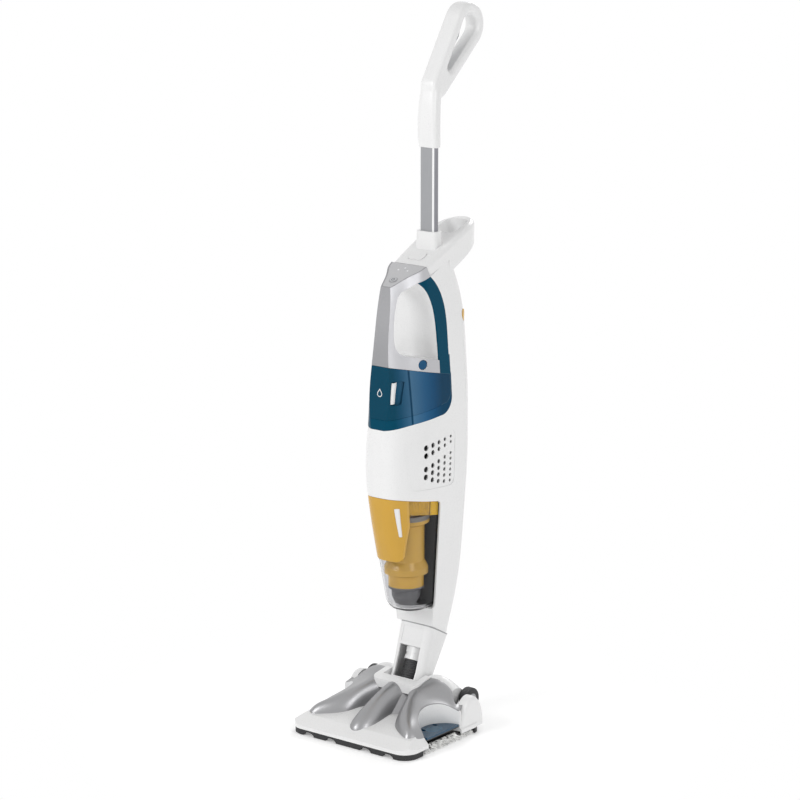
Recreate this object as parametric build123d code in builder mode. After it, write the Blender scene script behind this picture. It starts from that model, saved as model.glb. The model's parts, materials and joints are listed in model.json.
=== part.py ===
"""Upright vacuum cleaner and steam mop, as the pieces it comes apart into on a bench.

Millimetres, +Z up. -Y is the front, where the tank and dust box are, and +Y is the user's side.
The origin is on the floor under the middle of the floor head.
"""

import os
from math import cos, radians, sin, tan

from build123d import *

os.makedirs("parts", exist_ok=True)

# Floor head
HEAD_WIDTH = 247.0
HEAD_FRONT = -102.0
HEAD_REAR = 102.0
HEAD_CORNER = 26.0
LIP_BOTTOM = 10.0
LIP_TOP = 16.0
BEVEL_LEVEL = 28.0
DECK_LEVEL = 37.0
SHELL_WALL = 3.0
PIVOT_Y = 50.0
PIVOT_Z = 45.0
DRUM_RADIUS = 29.0
DRUM_HALF = 33.0
SLOT_HALF = 34.5
WHEEL_RADIUS = 20.0
WHEEL_Y = 94.0
WHEEL_Z = 49.0
WHEEL_INNER = 90.0
WHEEL_WIDTH = 15.0
PIN_RADIUS = 5.0
RUNNING_FIT = 0.05

# Mop
PAD_HALF = 121.0
PAD_FRONT = -58.0
PAD_REAR = 75.0
PAD_THICKNESS = 6.0

# Neck, which leans forward as it goes down to the pivot
NECK_TILT = 28.0
NECK_LENGTH = 119.0
NECK_HALF = 33.0
HOSE_RADIUS = 18.0
HOSE_BORE = 15.0

# Upright body
BODY_WALL = 3.0
SHOULDER_Y = 62.0
SPINE_FRONT = 76.0
BAY_REAR = 100.0
BAY_FLOOR = 198.0
BAY_SIDE = 78.0
BAY_CORNER = 9.0
COVER_SEAM_Y = 142.0
CYCLONE_Y = 52.0
MOVING_GAP = 0.4

# Sloping top, tube and handle
DECK_SLOPE = 24.5
DECK_NOSE = (-1.4, 739.7)
TUBE_Y = 112.0
TUBE_WIDTH = 31.0
TUBE_DEPTH = 15.0
TUBE_WALL = 1.5
TUBE_BOTTOM = 736.0
SLEEVE_BOTTOM = 949.0
SLEEVE_WIDTH = 38.0
SLEEVE_DEPTH = 19.0
COLLAR_TOP = 815.0

# Sections of the upright body, each: height, half width, front, rear, half width of the
# flat nose, bulge of the flanks (1 is elliptical, 0 is flat), radius of the rear corners
BODY_SECTIONS = [
    (118, 31, 46, 125, 4, 1.0, 14),
    (205, 40, 22, 143, 4, 1.0, 19),
    (285, 45, 2, 157, 4, 1.0, 23),
    (400, 52, -22, 163, 4, 1.0, 27),
    (460, 54, -24, 165, 5, 1.0, 28),
    (510, 54, -23, 165, 12, 0.7, 28),
    (570, 52, -17, 165.5, 20, 0.3, 27),
    (615, 49, -15, 165, 17, 0.2, 26),
    (680, 44, -9, 162, 13.5, 0.15, 24),
    (740, 38, -1, 147, 9.5, 0.1, 20),
    (800, 36, 8, 120, 7, 0.1, 18),
]


def body_form(inset, sections=BODY_SECTIONS):
    """The smooth outer form of the upright body, drawn in by a wall thickness."""
    with BuildPart() as form:
        for height, half, front, rear, nose, bulge, corner in sections:
            half -= inset
            front += inset
            rear -= inset
            nose -= 0.4 * inset
            corner = max(corner - inset, 6)
            across = half - nose
            along = SHOULDER_Y - front
            mid_x = nose + (0.5 + 0.207 * bulge) * across
            mid_y = front + (0.5 - 0.207 * bulge) * along
            start = ((1 - bulge) * across / along + bulge, 1 - bulge)
            with BuildSketch(Plane.XY.offset(height)):
                with BuildLine():
                    Line((0, front), (nose, front))
                    Spline(
                        (nose, front),
                        (mid_x, mid_y),
                        (half, SHOULDER_Y),
                        tangents=[start, (0, 1)],
                    )
                    Line((half, SHOULDER_Y), (half, rear - corner))
                    CenterArc((half - corner, rear - corner), corner, 0, 90)
                    Line((half - corner, rear), (0, rear))
                    mirror(about=Plane.YZ)
                make_face()
        loft()
    return form.part


def side_zone(*points, half=140):
    """A block with a straight-sided outline seen from the side, each point as (y, z)."""
    with BuildPart() as zone:
        with BuildSketch(Plane.YZ):
            with BuildLine():
                Polyline(*points, close=True)
            make_face()
        extrude(amount=half, both=True)
    return zone.part


def bar_bottom(y):
    """Height of the silver bar's lower edge, which is the tank's upper edge."""
    return 615 - 0.223 * (y + 18)


def bar_top(y):
    return bar_bottom(y) + 21


def band_top(y):
    """Height of the line between the tank and the band below it."""
    return 528 + 0.14 * (y + 23)


def bucket_top(y):
    """Height of the dust box's upper edge."""
    return 400 - 0.185 * (y + 23)


def deck_top(y):
    return DECK_NOSE[1] + tan(radians(DECK_SLOPE)) * (y - DECK_NOSE[0])


def parting(y):
    """Height of the line between the top cover and what it sits on."""
    return 756 + 0.4 * (y - 81)


def deck_plane(y):
    """A plane lying on the sloping top, at a distance back."""
    slope = radians(DECK_SLOPE)
    return Plane((0, y, deck_top(y)), x_dir=(1, 0, 0), z_dir=(0, -sin(slope), cos(slope)))


def neck_plane(distance):
    """A plane square to the neck, at a distance from the tilt pivot."""
    up = Vector(0, sin(radians(NECK_TILT)), cos(radians(NECK_TILT)))
    return Plane(Vector(0, PIVOT_Y, PIVOT_Z) + up * distance, x_dir=(1, 0, 0), z_dir=up)


def save(builder, name):
    """Names a finished piece and writes it."""
    builder.part.label = name
    export_step(builder.part, f"parts/{name}.step")


# Body forms at the depths that the shells, skins and boxes need
outer_form = body_form(0)
skin_form = body_form(BODY_WALL)
recess_form = body_form(0.8)
behind_form = body_form(3.6)

# Side outlines of the strip that runs up beside the hand opening
STRIP_FRONT = [(42, 744), (69, 704), (74.8, 664), (SPINE_FRONT, 630)]
STRIP_REAR = [(104.5, bar_bottom(104.5)), (101, 660), (97, 702), (68, 751)]

# The hand opening behind the silver strut, cut right through
with BuildPart() as hand_opening:
    with BuildSketch(Plane.YZ):
        with BuildLine():
            Spline(*STRIP_FRONT)
            Line(STRIP_FRONT[-1], (SPINE_FRONT, bar_top(SPINE_FRONT)))
            Line((SPINE_FRONT, bar_top(SPINE_FRONT)), (24, bar_top(24)))
            Spline((24, bar_top(24)), (2, 637), (-3, 655), tangents=[(-1, 0.2), (0, 1)])
            Spline((-3, 655), (-1, 685), (9, 724), tangents=[(0, 1), (0.4, 1)])
            Line((9, 724), (15, 731))
            Line((15, 731), STRIP_FRONT[0])
        make_face()
    extrude(amount=140, both=True)

with BuildPart() as strip_zone:
    with BuildSketch(Plane.YZ):
        with BuildLine():
            Spline(*STRIP_FRONT)
            Line(STRIP_FRONT[-1], (SPINE_FRONT, bar_bottom(SPINE_FRONT)))
            Line((SPINE_FRONT, bar_bottom(SPINE_FRONT)), STRIP_REAR[0])
            Spline(*STRIP_REAR)
            Line(STRIP_REAR[-1], STRIP_FRONT[0])
        make_face()
    extrude(amount=140, both=True)

# The tank's outline from the side, with its wings that lap the spine
with BuildPart() as tank_zone:
    with BuildSketch(Plane.YZ):
        with BuildLine():
            Polyline(
                (-70, bar_bottom(-70) - MOVING_GAP),
                (101, bar_bottom(101) - MOVING_GAP),
                (101, 562),
            )
            RadiusArc((101, 562), (84, band_top(84) + MOVING_GAP), 17)
            Polyline(
                (84, band_top(84) + MOVING_GAP),
                (-70, band_top(-70) + MOVING_GAP),
                (-70, bar_bottom(-70) - MOVING_GAP),
            )
        make_face()
    extrude(amount=140, both=True)

with BuildPart() as band_zone:
    with BuildSketch(Plane.YZ):
        with BuildLine():
            Line((-70, band_top(-70)), (84.5, band_top(84.5)))
            RadiusArc((84.5, band_top(84.5)), (102, 562), -17.5)
            Line((102, 562), (102, bar_bottom(102)))
            Line((102, bar_bottom(102)), (104.5, bar_bottom(104.5)))
            Line((104.5, bar_bottom(104.5)), (104.5, 556))
            RadiusArc((104.5, 556), (80, 525), 28)
            Spline((80, 525), (14, 518.5), (-70, 502), tangents=[(-1, -0.04), (-1, -0.22)])
            Line((-70, 502), (-70, band_top(-70)))
        make_face()
    extrude(amount=140, both=True)

# The vent pads, rounded squares on both flanks
VENT_COLUMNS = 5
with BuildPart() as vent_zone:
    with BuildSketch(Plane.YZ):
        with BuildLine():
            FilletPolyline(
                (-2, 490), (112, 497), (112, 402), (8, 410), radius=12, close=True
            )
        make_face()
    extrude(amount=140, both=True)

front_upper = side_zone(
    (-90, band_top(-90)),
    (SPINE_FRONT, band_top(SPINE_FRONT)),
    (SPINE_FRONT, 640),
    (-90, 640),
)
silver_upper = side_zone((-90, 600), (-90, 900), (60, deck_top(60)), (68, 751), (42, 744), (42, 600))
above_parting = side_zone((-90, parting(-90)), (260, parting(260)), (260, 900), (-90, 900))

with BuildPart() as below_seam:
    with BuildSketch(neck_plane(NECK_LENGTH)):
        Rectangle(300, 500)
    extrude(amount=-200)


def bay_outline(gap):
    """The dust box's outline from the side, with rounded rear corners, drawn in by a gap."""
    rear = BAY_SIDE - gap
    with BuildPart() as outline:
        with BuildSketch(Plane.YZ):
            with BuildLine():
                FilletPolyline(
                    (-90, BAY_FLOOR + gap),
                    (rear, BAY_FLOOR + gap),
                    (rear, bucket_top(rear) - gap),
                    (-90, bucket_top(-90) - gap),
                    radius=BAY_CORNER,
                    close=True,
                )
            make_face()
        extrude(amount=140, both=True)
    return outline.part


bay_rear = side_zone(
    (71, BAY_FLOOR),
    (BAY_REAR, BAY_FLOOR),
    (BAY_REAR, bucket_top(BAY_REAR)),
    (71, bucket_top(71)),
)
neck_front = side_zone((-90, 60), (76, 60), (76, 168), (74, BAY_FLOOR), (-90, BAY_FLOOR))
cover_zone = side_zone((COVER_SEAM_Y, 222), (220, 222), (220, 716), (COVER_SEAM_Y, 716))
cover_gap = side_zone(
    (COVER_SEAM_Y - 0.3, 221.7),
    (220, 221.7),
    (220, 716.3),
    (COVER_SEAM_Y - 0.3, 716.3),
)

# Hollow of the body: the motor room over the dust box and the spine behind it
MOTOR_FLOOR = 404.0
hollow_zone = side_zone(
    (SPINE_FRONT + 5, 734),
    (SPINE_FRONT + 5, band_top(SPINE_FRONT) - 4),
    (-90, band_top(-90) - 4),
    (-90, MOTOR_FLOOR),
    (BAY_REAR + 4, MOTOR_FLOOR),
    (BAY_REAR + 4, BAY_FLOOR - 10),
    (86, 176),
    (100, 130),
    (220, 90),
    (220, 734),
)

with BuildPart() as hollow:
    add(skin_form)
    add(hollow_zone, mode=Mode.INTERSECT)

with BuildPart() as skin:
    add(outer_form)
    add(skin_form, mode=Mode.SUBTRACT)

with BuildPart() as deep_skin:
    add(outer_form)
    add(behind_form, mode=Mode.SUBTRACT)
    add(tank_zone.part, mode=Mode.INTERSECT)

with BuildPart() as strip_skin:
    add(skin.part)
    add(strip_zone.part, mode=Mode.INTERSECT)

with BuildPart() as band_skin:
    add(skin.part)
    add(band_zone.part, mode=Mode.INTERSECT)

with BuildPart() as vent_skin:
    add(skin.part)
    add(vent_zone.part, mode=Mode.INTERSECT)

with BuildPart() as bay_side:
    add(body_form(3.2))
    add(bay_rear, mode=Mode.INTERSECT)

# The white body shell, with rooms for everything that it carries
AIR_RADIUS = 9.5
AIR_HEIGHT = 362.0
SCREW_PLACES = [(-22, 246), (22, 246), (-22, 700), (22, 700)]
with BuildPart() as body_shell:
    add(outer_form)
    add(above_parting, mode=Mode.SUBTRACT)
    add(front_upper, mode=Mode.SUBTRACT)
    add(silver_upper, mode=Mode.SUBTRACT)
    add(hand_opening.part, mode=Mode.SUBTRACT)
    add(bay_outline(0), mode=Mode.SUBTRACT)
    add(bay_side.part, mode=Mode.SUBTRACT)
    add(neck_front, mode=Mode.SUBTRACT)
    add(below_seam.part, mode=Mode.SUBTRACT)
    add(hollow.part, mode=Mode.SUBTRACT)
    for cut in (strip_skin, band_skin, vent_skin, deep_skin):
        add(cut.part, mode=Mode.SUBTRACT)
    # Screw bosses behind the rear cover
    for x, z in SCREW_PLACES:
        start = BAY_REAR + 2 if z < MOTOR_FLOOR else SPINE_FRONT + 4
        with BuildSketch(Plane.XZ.offset(-start)):
            with Locations((x, z)):
                Circle(5)
        extrude(amount=start - 136)
    add(cover_gap, mode=Mode.SUBTRACT)
    with BuildSketch(Plane.XZ.offset(-90)):
        with Locations(*SCREW_PLACES):
            Circle(2)
    extrude(amount=-60, mode=Mode.SUBTRACT)
    # Socket for the tube, air holes of the dust box and motor, and the water inlet
    with BuildSketch(Plane.XY.offset(728)):
        with Locations((0, TUBE_Y)):
            Rectangle(TUBE_WIDTH + 6, TUBE_DEPTH + 6)
    extrude(amount=100, mode=Mode.SUBTRACT)
    with BuildSketch(Plane.XZ.offset(-95)):
        with Locations((0, AIR_HEIGHT)):
            Circle(AIR_RADIUS)
    extrude(amount=-12, mode=Mode.SUBTRACT)
    with BuildSketch(Plane.XY.offset(370)):
        with Locations((0, CYCLONE_Y)):
            Circle(20)
    extrude(amount=60, mode=Mode.SUBTRACT)
    with BuildSketch(Plane.XZ.offset(-70)):
        with Locations((0, 560)):
            Circle(5.4)
    extrude(amount=-20, mode=Mode.SUBTRACT)
save(body_shell, "body_shell")

# Rear cover, with the pocket of the vacuum button in its right corner
VACUUM_PLANE = Plane((40.6, 149.3, 676), x_dir=(0, 0, 1), z_dir=(0.88, 0.475, 0))
VACUUM_TALL = 10.0
VACUUM_WIDE = 6.8
with BuildPart() as button_well:
    with BuildSketch(VACUUM_PLANE.offset(-13)):
        Ellipse(VACUUM_TALL + 2.5, VACUUM_WIDE + 2.5)
    extrude(amount=11.5)
    add(cover_zone, mode=Mode.INTERSECT)

with BuildPart() as rear_cover:
    add(skin.part)
    add(cover_zone, mode=Mode.INTERSECT)
    add(button_well.part)
    with BuildSketch(VACUUM_PLANE.offset(-11)):
        Ellipse(VACUUM_TALL + MOVING_GAP, VACUUM_WIDE + MOVING_GAP)
    extrude(amount=20, mode=Mode.SUBTRACT)
    with BuildSketch(Plane.XZ.offset(-140)):
        with Locations(*SCREW_PLACES):
            Circle(2)
    extrude(amount=-40, mode=Mode.SUBTRACT)
    with BuildSketch(Plane.XZ.offset(-150)):
        with Locations((0, 560)):
            Circle(7)
    extrude(amount=-30, mode=Mode.SUBTRACT)
save(rear_cover, "rear_cover")

with BuildPart() as vacuum_button:
    with BuildSketch(VACUUM_PLANE.offset(-7)):
        Ellipse(VACUUM_TALL, VACUUM_WIDE)
    extrude(amount=8.5)
    fillet(vacuum_button.faces().sort_by(Axis((0, 0, 0), (0.88, 0.475, 0)))[-1].edges(), 1.2)
save(vacuum_button, "vacuum_button")

with BuildPart() as body_screws:
    for x, z in SCREW_PLACES:
        with BuildSketch(Plane.XZ.offset(-110)):
            with Locations((x, z)):
                Circle(2)
        extrude(amount=-44)
save(body_screws, "body_screws")

with BuildPart() as cord_gland:
    with BuildSketch(Plane.XZ.offset(-156)):
        with Locations((0, 560)):
            Circle(7)
    extrude(amount=-9.6)
    with BuildSketch(Plane.XZ.offset(-165.6)):
        with Locations((0, 560)):
            Circle(10)
    extrude(amount=-4, taper=12)
    with BuildSketch(Plane.XZ.offset(-156)):
        with Locations((0, 560)):
            Circle(4)
    extrude(amount=-13.6, mode=Mode.SUBTRACT)
save(cord_gland, "cord_gland")

# Vent grilles, the same holes on both flanks
VENT_HOLES = []
for column in range(VENT_COLUMNS):
    y = 39 + 15.6 * column
    pitch = 13 - 0.95 * column
    rows = [477.3 + 2 * column - pitch * row for row in range(2)]
    rows += [442 + 3.9 * column - pitch * row for row in range(2 + column)]
    VENT_HOLES += [(y, z, 4.8 - 0.52 * column) for z in rows]
with BuildPart() as vent_grilles:
    add(recess_form)
    add(vent_zone.part, mode=Mode.INTERSECT)
    add(skin_form, mode=Mode.SUBTRACT)
    with BuildSketch(Plane.YZ):
        for y, z, radius in VENT_HOLES:
            with Locations((y, z)):
                Circle(radius)
    extrude(amount=80, both=True, mode=Mode.SUBTRACT)
save(vent_grilles, "vent_grilles")

# Teal trims beside the hand opening, and the band below the tank
save(strip_skin, "side_trims")
save(band_skin, "tank_band")

# Water tank, a hollow block whose two wings lap the spine
GRIP_HEIGHT = 38.0
tank_front_block = side_zone(
    (-90, 480), (SPINE_FRONT - MOVING_GAP, 480), (SPINE_FRONT - MOVING_GAP, 660), (-90, 660)
)
tank_wings = side_zone((70, 480), (100.6, 480), (100.6, 660), (70, 660))
tank_hollow_zone = side_zone(
    (-90, bar_bottom(-90) - 4),
    (71, bar_bottom(71) - 4),
    (71, band_top(71) + 4),
    (-90, band_top(-90) + 4),
)
with BuildPart() as tank_wing_skin:
    add(skin.part)
    add(tank_zone.part, mode=Mode.INTERSECT)
    add(tank_wings, mode=Mode.INTERSECT)

with BuildPart() as tank_room:
    add(body_form(7))
    add(tank_hollow_zone, mode=Mode.INTERSECT)

with BuildPart() as grip_pockets:
    for side in (-1, 1):
        with BuildSketch(Plane.XZ.offset(60)):
            with Locations((26 * side, 572)):
                RectangleRounded(11, GRIP_HEIGHT, 3)
        extrude(amount=-100)

with BuildPart() as pocket_skin:
    add(outer_form)
    add(body_form(4), mode=Mode.SUBTRACT)
    add(grip_pockets.part, mode=Mode.INTERSECT)

with BuildPart() as water_tank:
    add(outer_form)
    add(tank_zone.part, mode=Mode.INTERSECT)
    add(tank_front_block, mode=Mode.INTERSECT)
    add(tank_wing_skin.part)
    add(tank_room.part, mode=Mode.SUBTRACT)
    add(pocket_skin.part, mode=Mode.SUBTRACT)
    with BuildSketch(Plane.XY.offset(bar_bottom(30) - 12)):
        with Locations((0, 30)):
            Circle(14)
    extrude(amount=40, mode=Mode.SUBTRACT)
    with BuildSketch(Plane.XZ.offset(-60)):
        with Locations((0, 560)):
            Circle(5)
    extrude(amount=-30, mode=Mode.SUBTRACT)
save(water_tank, "water_tank")

with BuildPart() as tank_cap:
    with BuildSketch(Plane.XY.offset(bar_bottom(30) - 12)):
        with Locations((0, 30)):
            Circle(14)
    extrude(amount=40)
    add(tank_zone.part, mode=Mode.INTERSECT)
save(tank_cap, "tank_cap")

VALVE_BORE = 3.2
with BuildPart() as tank_valve:
    with BuildSketch(Plane.XZ.offset(-66)):
        with Locations((0, 560)):
            Circle(5)
            Circle(VALVE_BORE, mode=Mode.SUBTRACT)
    extrude(amount=-18)
save(tank_valve, "tank_valve")

with BuildPart() as tank_inlet:
    with BuildSketch(Plane.XZ.offset(-81)):
        with Locations((0, 560)):
            Circle(10)
            Circle(5.4, mode=Mode.SUBTRACT)
    extrude(amount=-8)
save(tank_inlet, "tank_inlet")

with BuildPart() as tank_grip_zone:
    for side in (-1, 1):
        with BuildSketch(Plane.XZ.offset(60)):
            with Locations((22.2 * side, 572)):
                Rectangle(2.4, GRIP_HEIGHT - 4)
        extrude(amount=-100)

with BuildPart() as tank_grips:
    add(body_form(1))
    add(body_form(4), mode=Mode.SUBTRACT)
    add(tank_grip_zone.part, mode=Mode.INTERSECT)
save(tank_grips, "tank_grips")

# Silver frame round the hand opening
silver_zone = side_zone(
    (-90, bar_bottom(-90)),
    (SPINE_FRONT, bar_bottom(SPINE_FRONT)),
    (SPINE_FRONT, 620),
    (42, 744),
    (68, 751),
    (60, deck_top(60)),
    (-90, deck_top(-90)),
)
STRUT_SECTIONS = [(626, 4, 17), (655, -3, 16), (685, -1, 15), (724, 9, 13), (736, 15, 12)]
RELEASE_PLANE = Plane((42.6, 40, 613), x_dir=(0, 0, 1), z_dir=(0.94, -0.34, 0))
POWER_Y = 19.0
LIGHT_PLACES = [(-9, 44), (9, 44), (0, 50)]
PANEL_DEPTH = 2.7


def panel_zone(rear):
    """The slab under the sloping top that the control panel takes up."""
    return side_zone(
        (-20, deck_top(-20) - PANEL_DEPTH),
        (rear, deck_top(rear) - PANEL_DEPTH),
        (rear, deck_top(rear)),
        (-20, deck_top(-20)),
    )


with BuildPart() as strut_back:
    for height, y, half in STRUT_SECTIONS:
        with BuildSketch(Plane.XY.offset(height)):
            with Locations((0, y)):
                Ellipse(half, 12)
    loft()
    add(outer_form, mode=Mode.INTERSECT)

with BuildPart() as panel_recess:
    add(body_form(2.5))
    add(panel_zone(70), mode=Mode.INTERSECT)

with BuildPart() as carry_frame:
    add(outer_form)
    add(silver_zone, mode=Mode.INTERSECT)
    add(hand_opening.part, mode=Mode.SUBTRACT)
    add(strut_back.part)
    add(panel_recess.part, mode=Mode.SUBTRACT)
    with BuildSketch(deck_plane(POWER_Y)):
        Circle(6.9)
    extrude(amount=-10, mode=Mode.SUBTRACT)
    with BuildSketch(RELEASE_PLANE.offset(-12)):
        Circle(8.2)
    extrude(amount=20, mode=Mode.SUBTRACT)
save(carry_frame, "carry_frame")

with BuildPart() as control_panel:
    add(body_form(2.8))
    add(panel_zone(59.8), mode=Mode.INTERSECT)
    with BuildSketch(deck_plane(POWER_Y)):
        Circle(6.9)
    extrude(amount=10, both=True, mode=Mode.SUBTRACT)
    for x, y in LIGHT_PLACES:
        with BuildSketch(deck_plane(y)):
            with Locations((x, 0)):
                Circle(1.6)
        extrude(amount=10, both=True, mode=Mode.SUBTRACT)
save(control_panel, "control_panel")

with BuildPart() as indicator_lights:
    for x, y in LIGHT_PLACES:
        with BuildSketch(deck_plane(y).offset(-2.4)):
            with Locations((x, 0)):
                Circle(1.6)
        extrude(amount=2.7)
save(indicator_lights, "indicator_lights")

with BuildPart() as power_button:
    with BuildSketch(deck_plane(POWER_Y).offset(-6)):
        Circle(6.5)
    extrude(amount=7)
save(power_button, "power_button")

with BuildPart() as tank_release_button:
    with BuildSketch(RELEASE_PLANE.offset(-8)):
        Circle(7.8)
    extrude(amount=9.2)
    fillet(tank_release_button.faces().sort_by(Axis((0, 0, 0), (0.94, -0.34, 0)))[-1].edges(), 1)
save(tank_release_button, "tank_release_button")

# Top cover with the carry loop behind it
with BuildPart() as tongue:
    with BuildSketch(Plane.XY.offset(690)):
        with BuildLine():
            Line((0, 60.3), (34, 60.3))
            Spline(
                (34, 60.3), (36.3, 100), (36.3, 145), (29, 192), (0, 216), tangents=[(0.06, 1), (-1, 0)]
            )
            mirror(about=Plane.YZ)
        make_face()
        with Locations((0, 172)):
            RectangleRounded(42, 50, 14, mode=Mode.SUBTRACT)
    extrude(amount=200)

with BuildPart() as top_zone:
    with BuildSketch(Plane.YZ):
        with BuildLine():
            Line((60.6, deck_top(60.6)), (125, deck_top(125)))
            Spline((125, deck_top(125)), (240, 826), tangents=[(1, tan(radians(DECK_SLOPE))), (1, 0)])
            Polyline(
                (240, 826),
                (240, 806),
                (187, parting(187)),
                (68.6, parting(68.6)),
                (60.6, deck_top(60.6)),
            )
        make_face()
    extrude(amount=140, both=True)

underside_zone = side_zone(
    (118, parting(118)),
    (187, parting(187)),
    (240, 806),
    (240, 799),
    (206, 789),
    (131, 754),
    (118, 748),
)
RELEASE_Y = 82.0
TOP_ROUNDING = 7.0
with BuildPart() as top_cover:
    add(tongue.part)
    add(top_zone.part, mode=Mode.INTERSECT)
    rim = top_cover.edges().filter_by(lambda edge: edge.center().Z > deck_top(edge.center().Y) - 16)
    fillet(rim.filter_by(lambda edge: abs(edge.center().X) > 25 and edge.length > 30), TOP_ROUNDING)
    with BuildSketch(Plane.XY.offset(778)):
        with Locations((0, TUBE_Y)):
            RectangleRounded(42, 26, 8)
    with BuildSketch(Plane.XY.offset(COLLAR_TOP)):
        with Locations((0, TUBE_Y)):
            RectangleRounded(39, 23, 7)
    loft()
    with BuildSketch(Plane.XY.offset(730)):
        with Locations((0, TUBE_Y)):
            Rectangle(TUBE_WIDTH + 6, TUBE_DEPTH + 6)
    extrude(amount=50)
    with BuildSketch(Plane.XY.offset(TUBE_BOTTOM - MOVING_GAP)):
        with Locations((0, TUBE_Y)):
            RectangleRounded(TUBE_WIDTH + 2 * MOVING_GAP, TUBE_DEPTH + 2 * MOVING_GAP, 6.4)
    extrude(amount=120, mode=Mode.SUBTRACT)
    with BuildSketch(deck_plane(RELEASE_Y).offset(-12.5)):
        RectangleRounded(28.8, 21.8, 6.4)
    extrude(amount=20, mode=Mode.SUBTRACT)
save(top_cover, "top_cover")

with BuildPart() as carry_underside:
    add(tongue.part)
    add(underside_zone, mode=Mode.INTERSECT)
    add(outer_form, mode=Mode.SUBTRACT)
save(carry_underside, "carry_underside")

with BuildPart() as handle_release_button:
    with BuildSketch(deck_plane(RELEASE_Y).offset(-8.5)):
        RectangleRounded(28, 21, 6)
    extrude(amount=9.7)
save(handle_release_button, "handle_release_button")

# Dust box: a clear bucket with an amber front and a cyclone inside
BUCKET_REAR = 96.0
LID_DEPTH = 7.0
SKIRT_DEPTH = 24.0
INLET_Y = 15.0
# Sections of the dust box's rounded foot, each: height, half width, front
FOOT_SECTIONS = [(197.5, 27, 36), (201, 32, 31), (206, 35.4, 27.2), (212, 37.8, 23.4), (218, 40, 19.6)]


def bucket_foot(rise):
    """A zone that rounds the dust box in towards its foot, and is open above it."""
    sections = [(height + rise, half, front, 150, 4, 1.0, 14) for height, half, front in FOOT_SECTIONS]
    top = sections[-1][0]
    with BuildPart() as zone:
        add(body_form(0, sections))
        add(side_zone((-90, top), (120, top), (120, 450), (-90, 450)))
    return zone.part


def bucket_form(inset, floor_rise, top_shift):
    """The dust box's outline, narrower where it goes in between the bay walls."""
    rear = BUCKET_REAR - inset + 2.7
    bottom = BAY_FLOOR + MOVING_GAP + floor_rise
    upper = bucket_top(-90) + top_shift
    rear_upper = bucket_top(rear) + top_shift
    with BuildPart() as rear_half:
        add(body_form(inset + 1.5))
        add(side_zone((60, 190), (rear, 190), (rear, 440), (60, 440)), mode=Mode.INTERSECT)
    with BuildPart() as form:
        add(body_form(inset))
        add(bay_outline(MOVING_GAP), mode=Mode.INTERSECT)
        add(rear_half.part)
        add(
            side_zone((-90, bottom), (rear, bottom), (rear, rear_upper), (-90, upper)),
            mode=Mode.INTERSECT,
        )
        add(bucket_foot(floor_rise), mode=Mode.INTERSECT)
    return form.part


with BuildPart() as dust_bucket:
    add(bucket_form(2.7, 0, -0.5))
    add(bucket_form(5, 3.6, -0.5), mode=Mode.SUBTRACT)
    with BuildSketch(Plane.XZ.offset(-85)):
        with Locations((0, AIR_HEIGHT)):
            Circle(AIR_RADIUS)
    extrude(amount=-20, mode=Mode.SUBTRACT)
save(dust_bucket, "dust_bucket")


def lid_zone(depth):
    """The slab under the dust box's sloping top, down to a depth."""
    return side_zone(
        (-90, bucket_top(-90) - depth),
        (110, bucket_top(110) - depth),
        (110, bucket_top(110) - 0.5),
        (-90, bucket_top(-90) - 0.5),
    )


with BuildPart() as lid_skirt:
    add(bucket_form(5, 3.6, -0.5))
    add(bucket_form(8, 3.6, 20), mode=Mode.SUBTRACT)
    add(lid_zone(SKIRT_DEPTH), mode=Mode.INTERSECT)

with BuildPart() as dust_lid:
    add(bucket_form(5, 3.6, -0.5))
    add(lid_zone(LID_DEPTH), mode=Mode.INTERSECT)
    add(lid_skirt.part)
    with BuildSketch(Plane.XY.offset(300)):
        with Locations((0, CYCLONE_Y)):
            Circle(20)
    extrude(amount=200, mode=Mode.SUBTRACT)
    with BuildSketch(Plane.XZ.offset(-80)):
        with Locations((0, AIR_HEIGHT)):
            Rectangle(30, 30)
    extrude(amount=-30, mode=Mode.SUBTRACT)
    with BuildSketch(Plane.XY.offset(300)):
        with Locations((0, INLET_Y)):
            RectangleRounded(34, 12, 3)
    extrude(amount=200, mode=Mode.SUBTRACT)
save(dust_lid, "dust_lid")

with BuildPart() as dust_grip_zone:
    for side in (-1, 1):
        with BuildSketch(Plane.XZ.offset(80)):
            with BuildLine():
                FilletPolyline(
                    (25 * side, 383), (31.6 * side, 383), (30 * side, 333), (26.2 * side, 333),
                    radius=1.5, close=True,
                )
            make_face()
        extrude(amount=-125)

with BuildPart() as dust_front_zone:
    with BuildSketch(Plane.XZ.offset(80)):
        with BuildLine():
            FilletPolyline(
                (39, 412), (36, 350), (26, 289), (-26, 289), (-36, 350), (-39, 412),
                radius=10, close=True,
            )
        make_face()
    extrude(amount=-125)

with BuildPart() as dust_front:
    add(body_form(0.2))
    add(body_form(2.7), mode=Mode.SUBTRACT)
    add(dust_front_zone.part, mode=Mode.INTERSECT)
    add(
        side_zone((-90, 200), (60, 200), (60, bucket_top(60) - 0.5), (-90, bucket_top(-90) - 0.5)),
        mode=Mode.INTERSECT,
    )
    add(dust_grip_zone.part, mode=Mode.SUBTRACT)
save(dust_front, "dust_front")

with BuildPart() as dust_grips:
    add(body_form(1))
    add(body_form(2.7), mode=Mode.SUBTRACT)
    add(dust_grip_zone.part, mode=Mode.INTERSECT)
save(dust_grips, "dust_grips")

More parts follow.
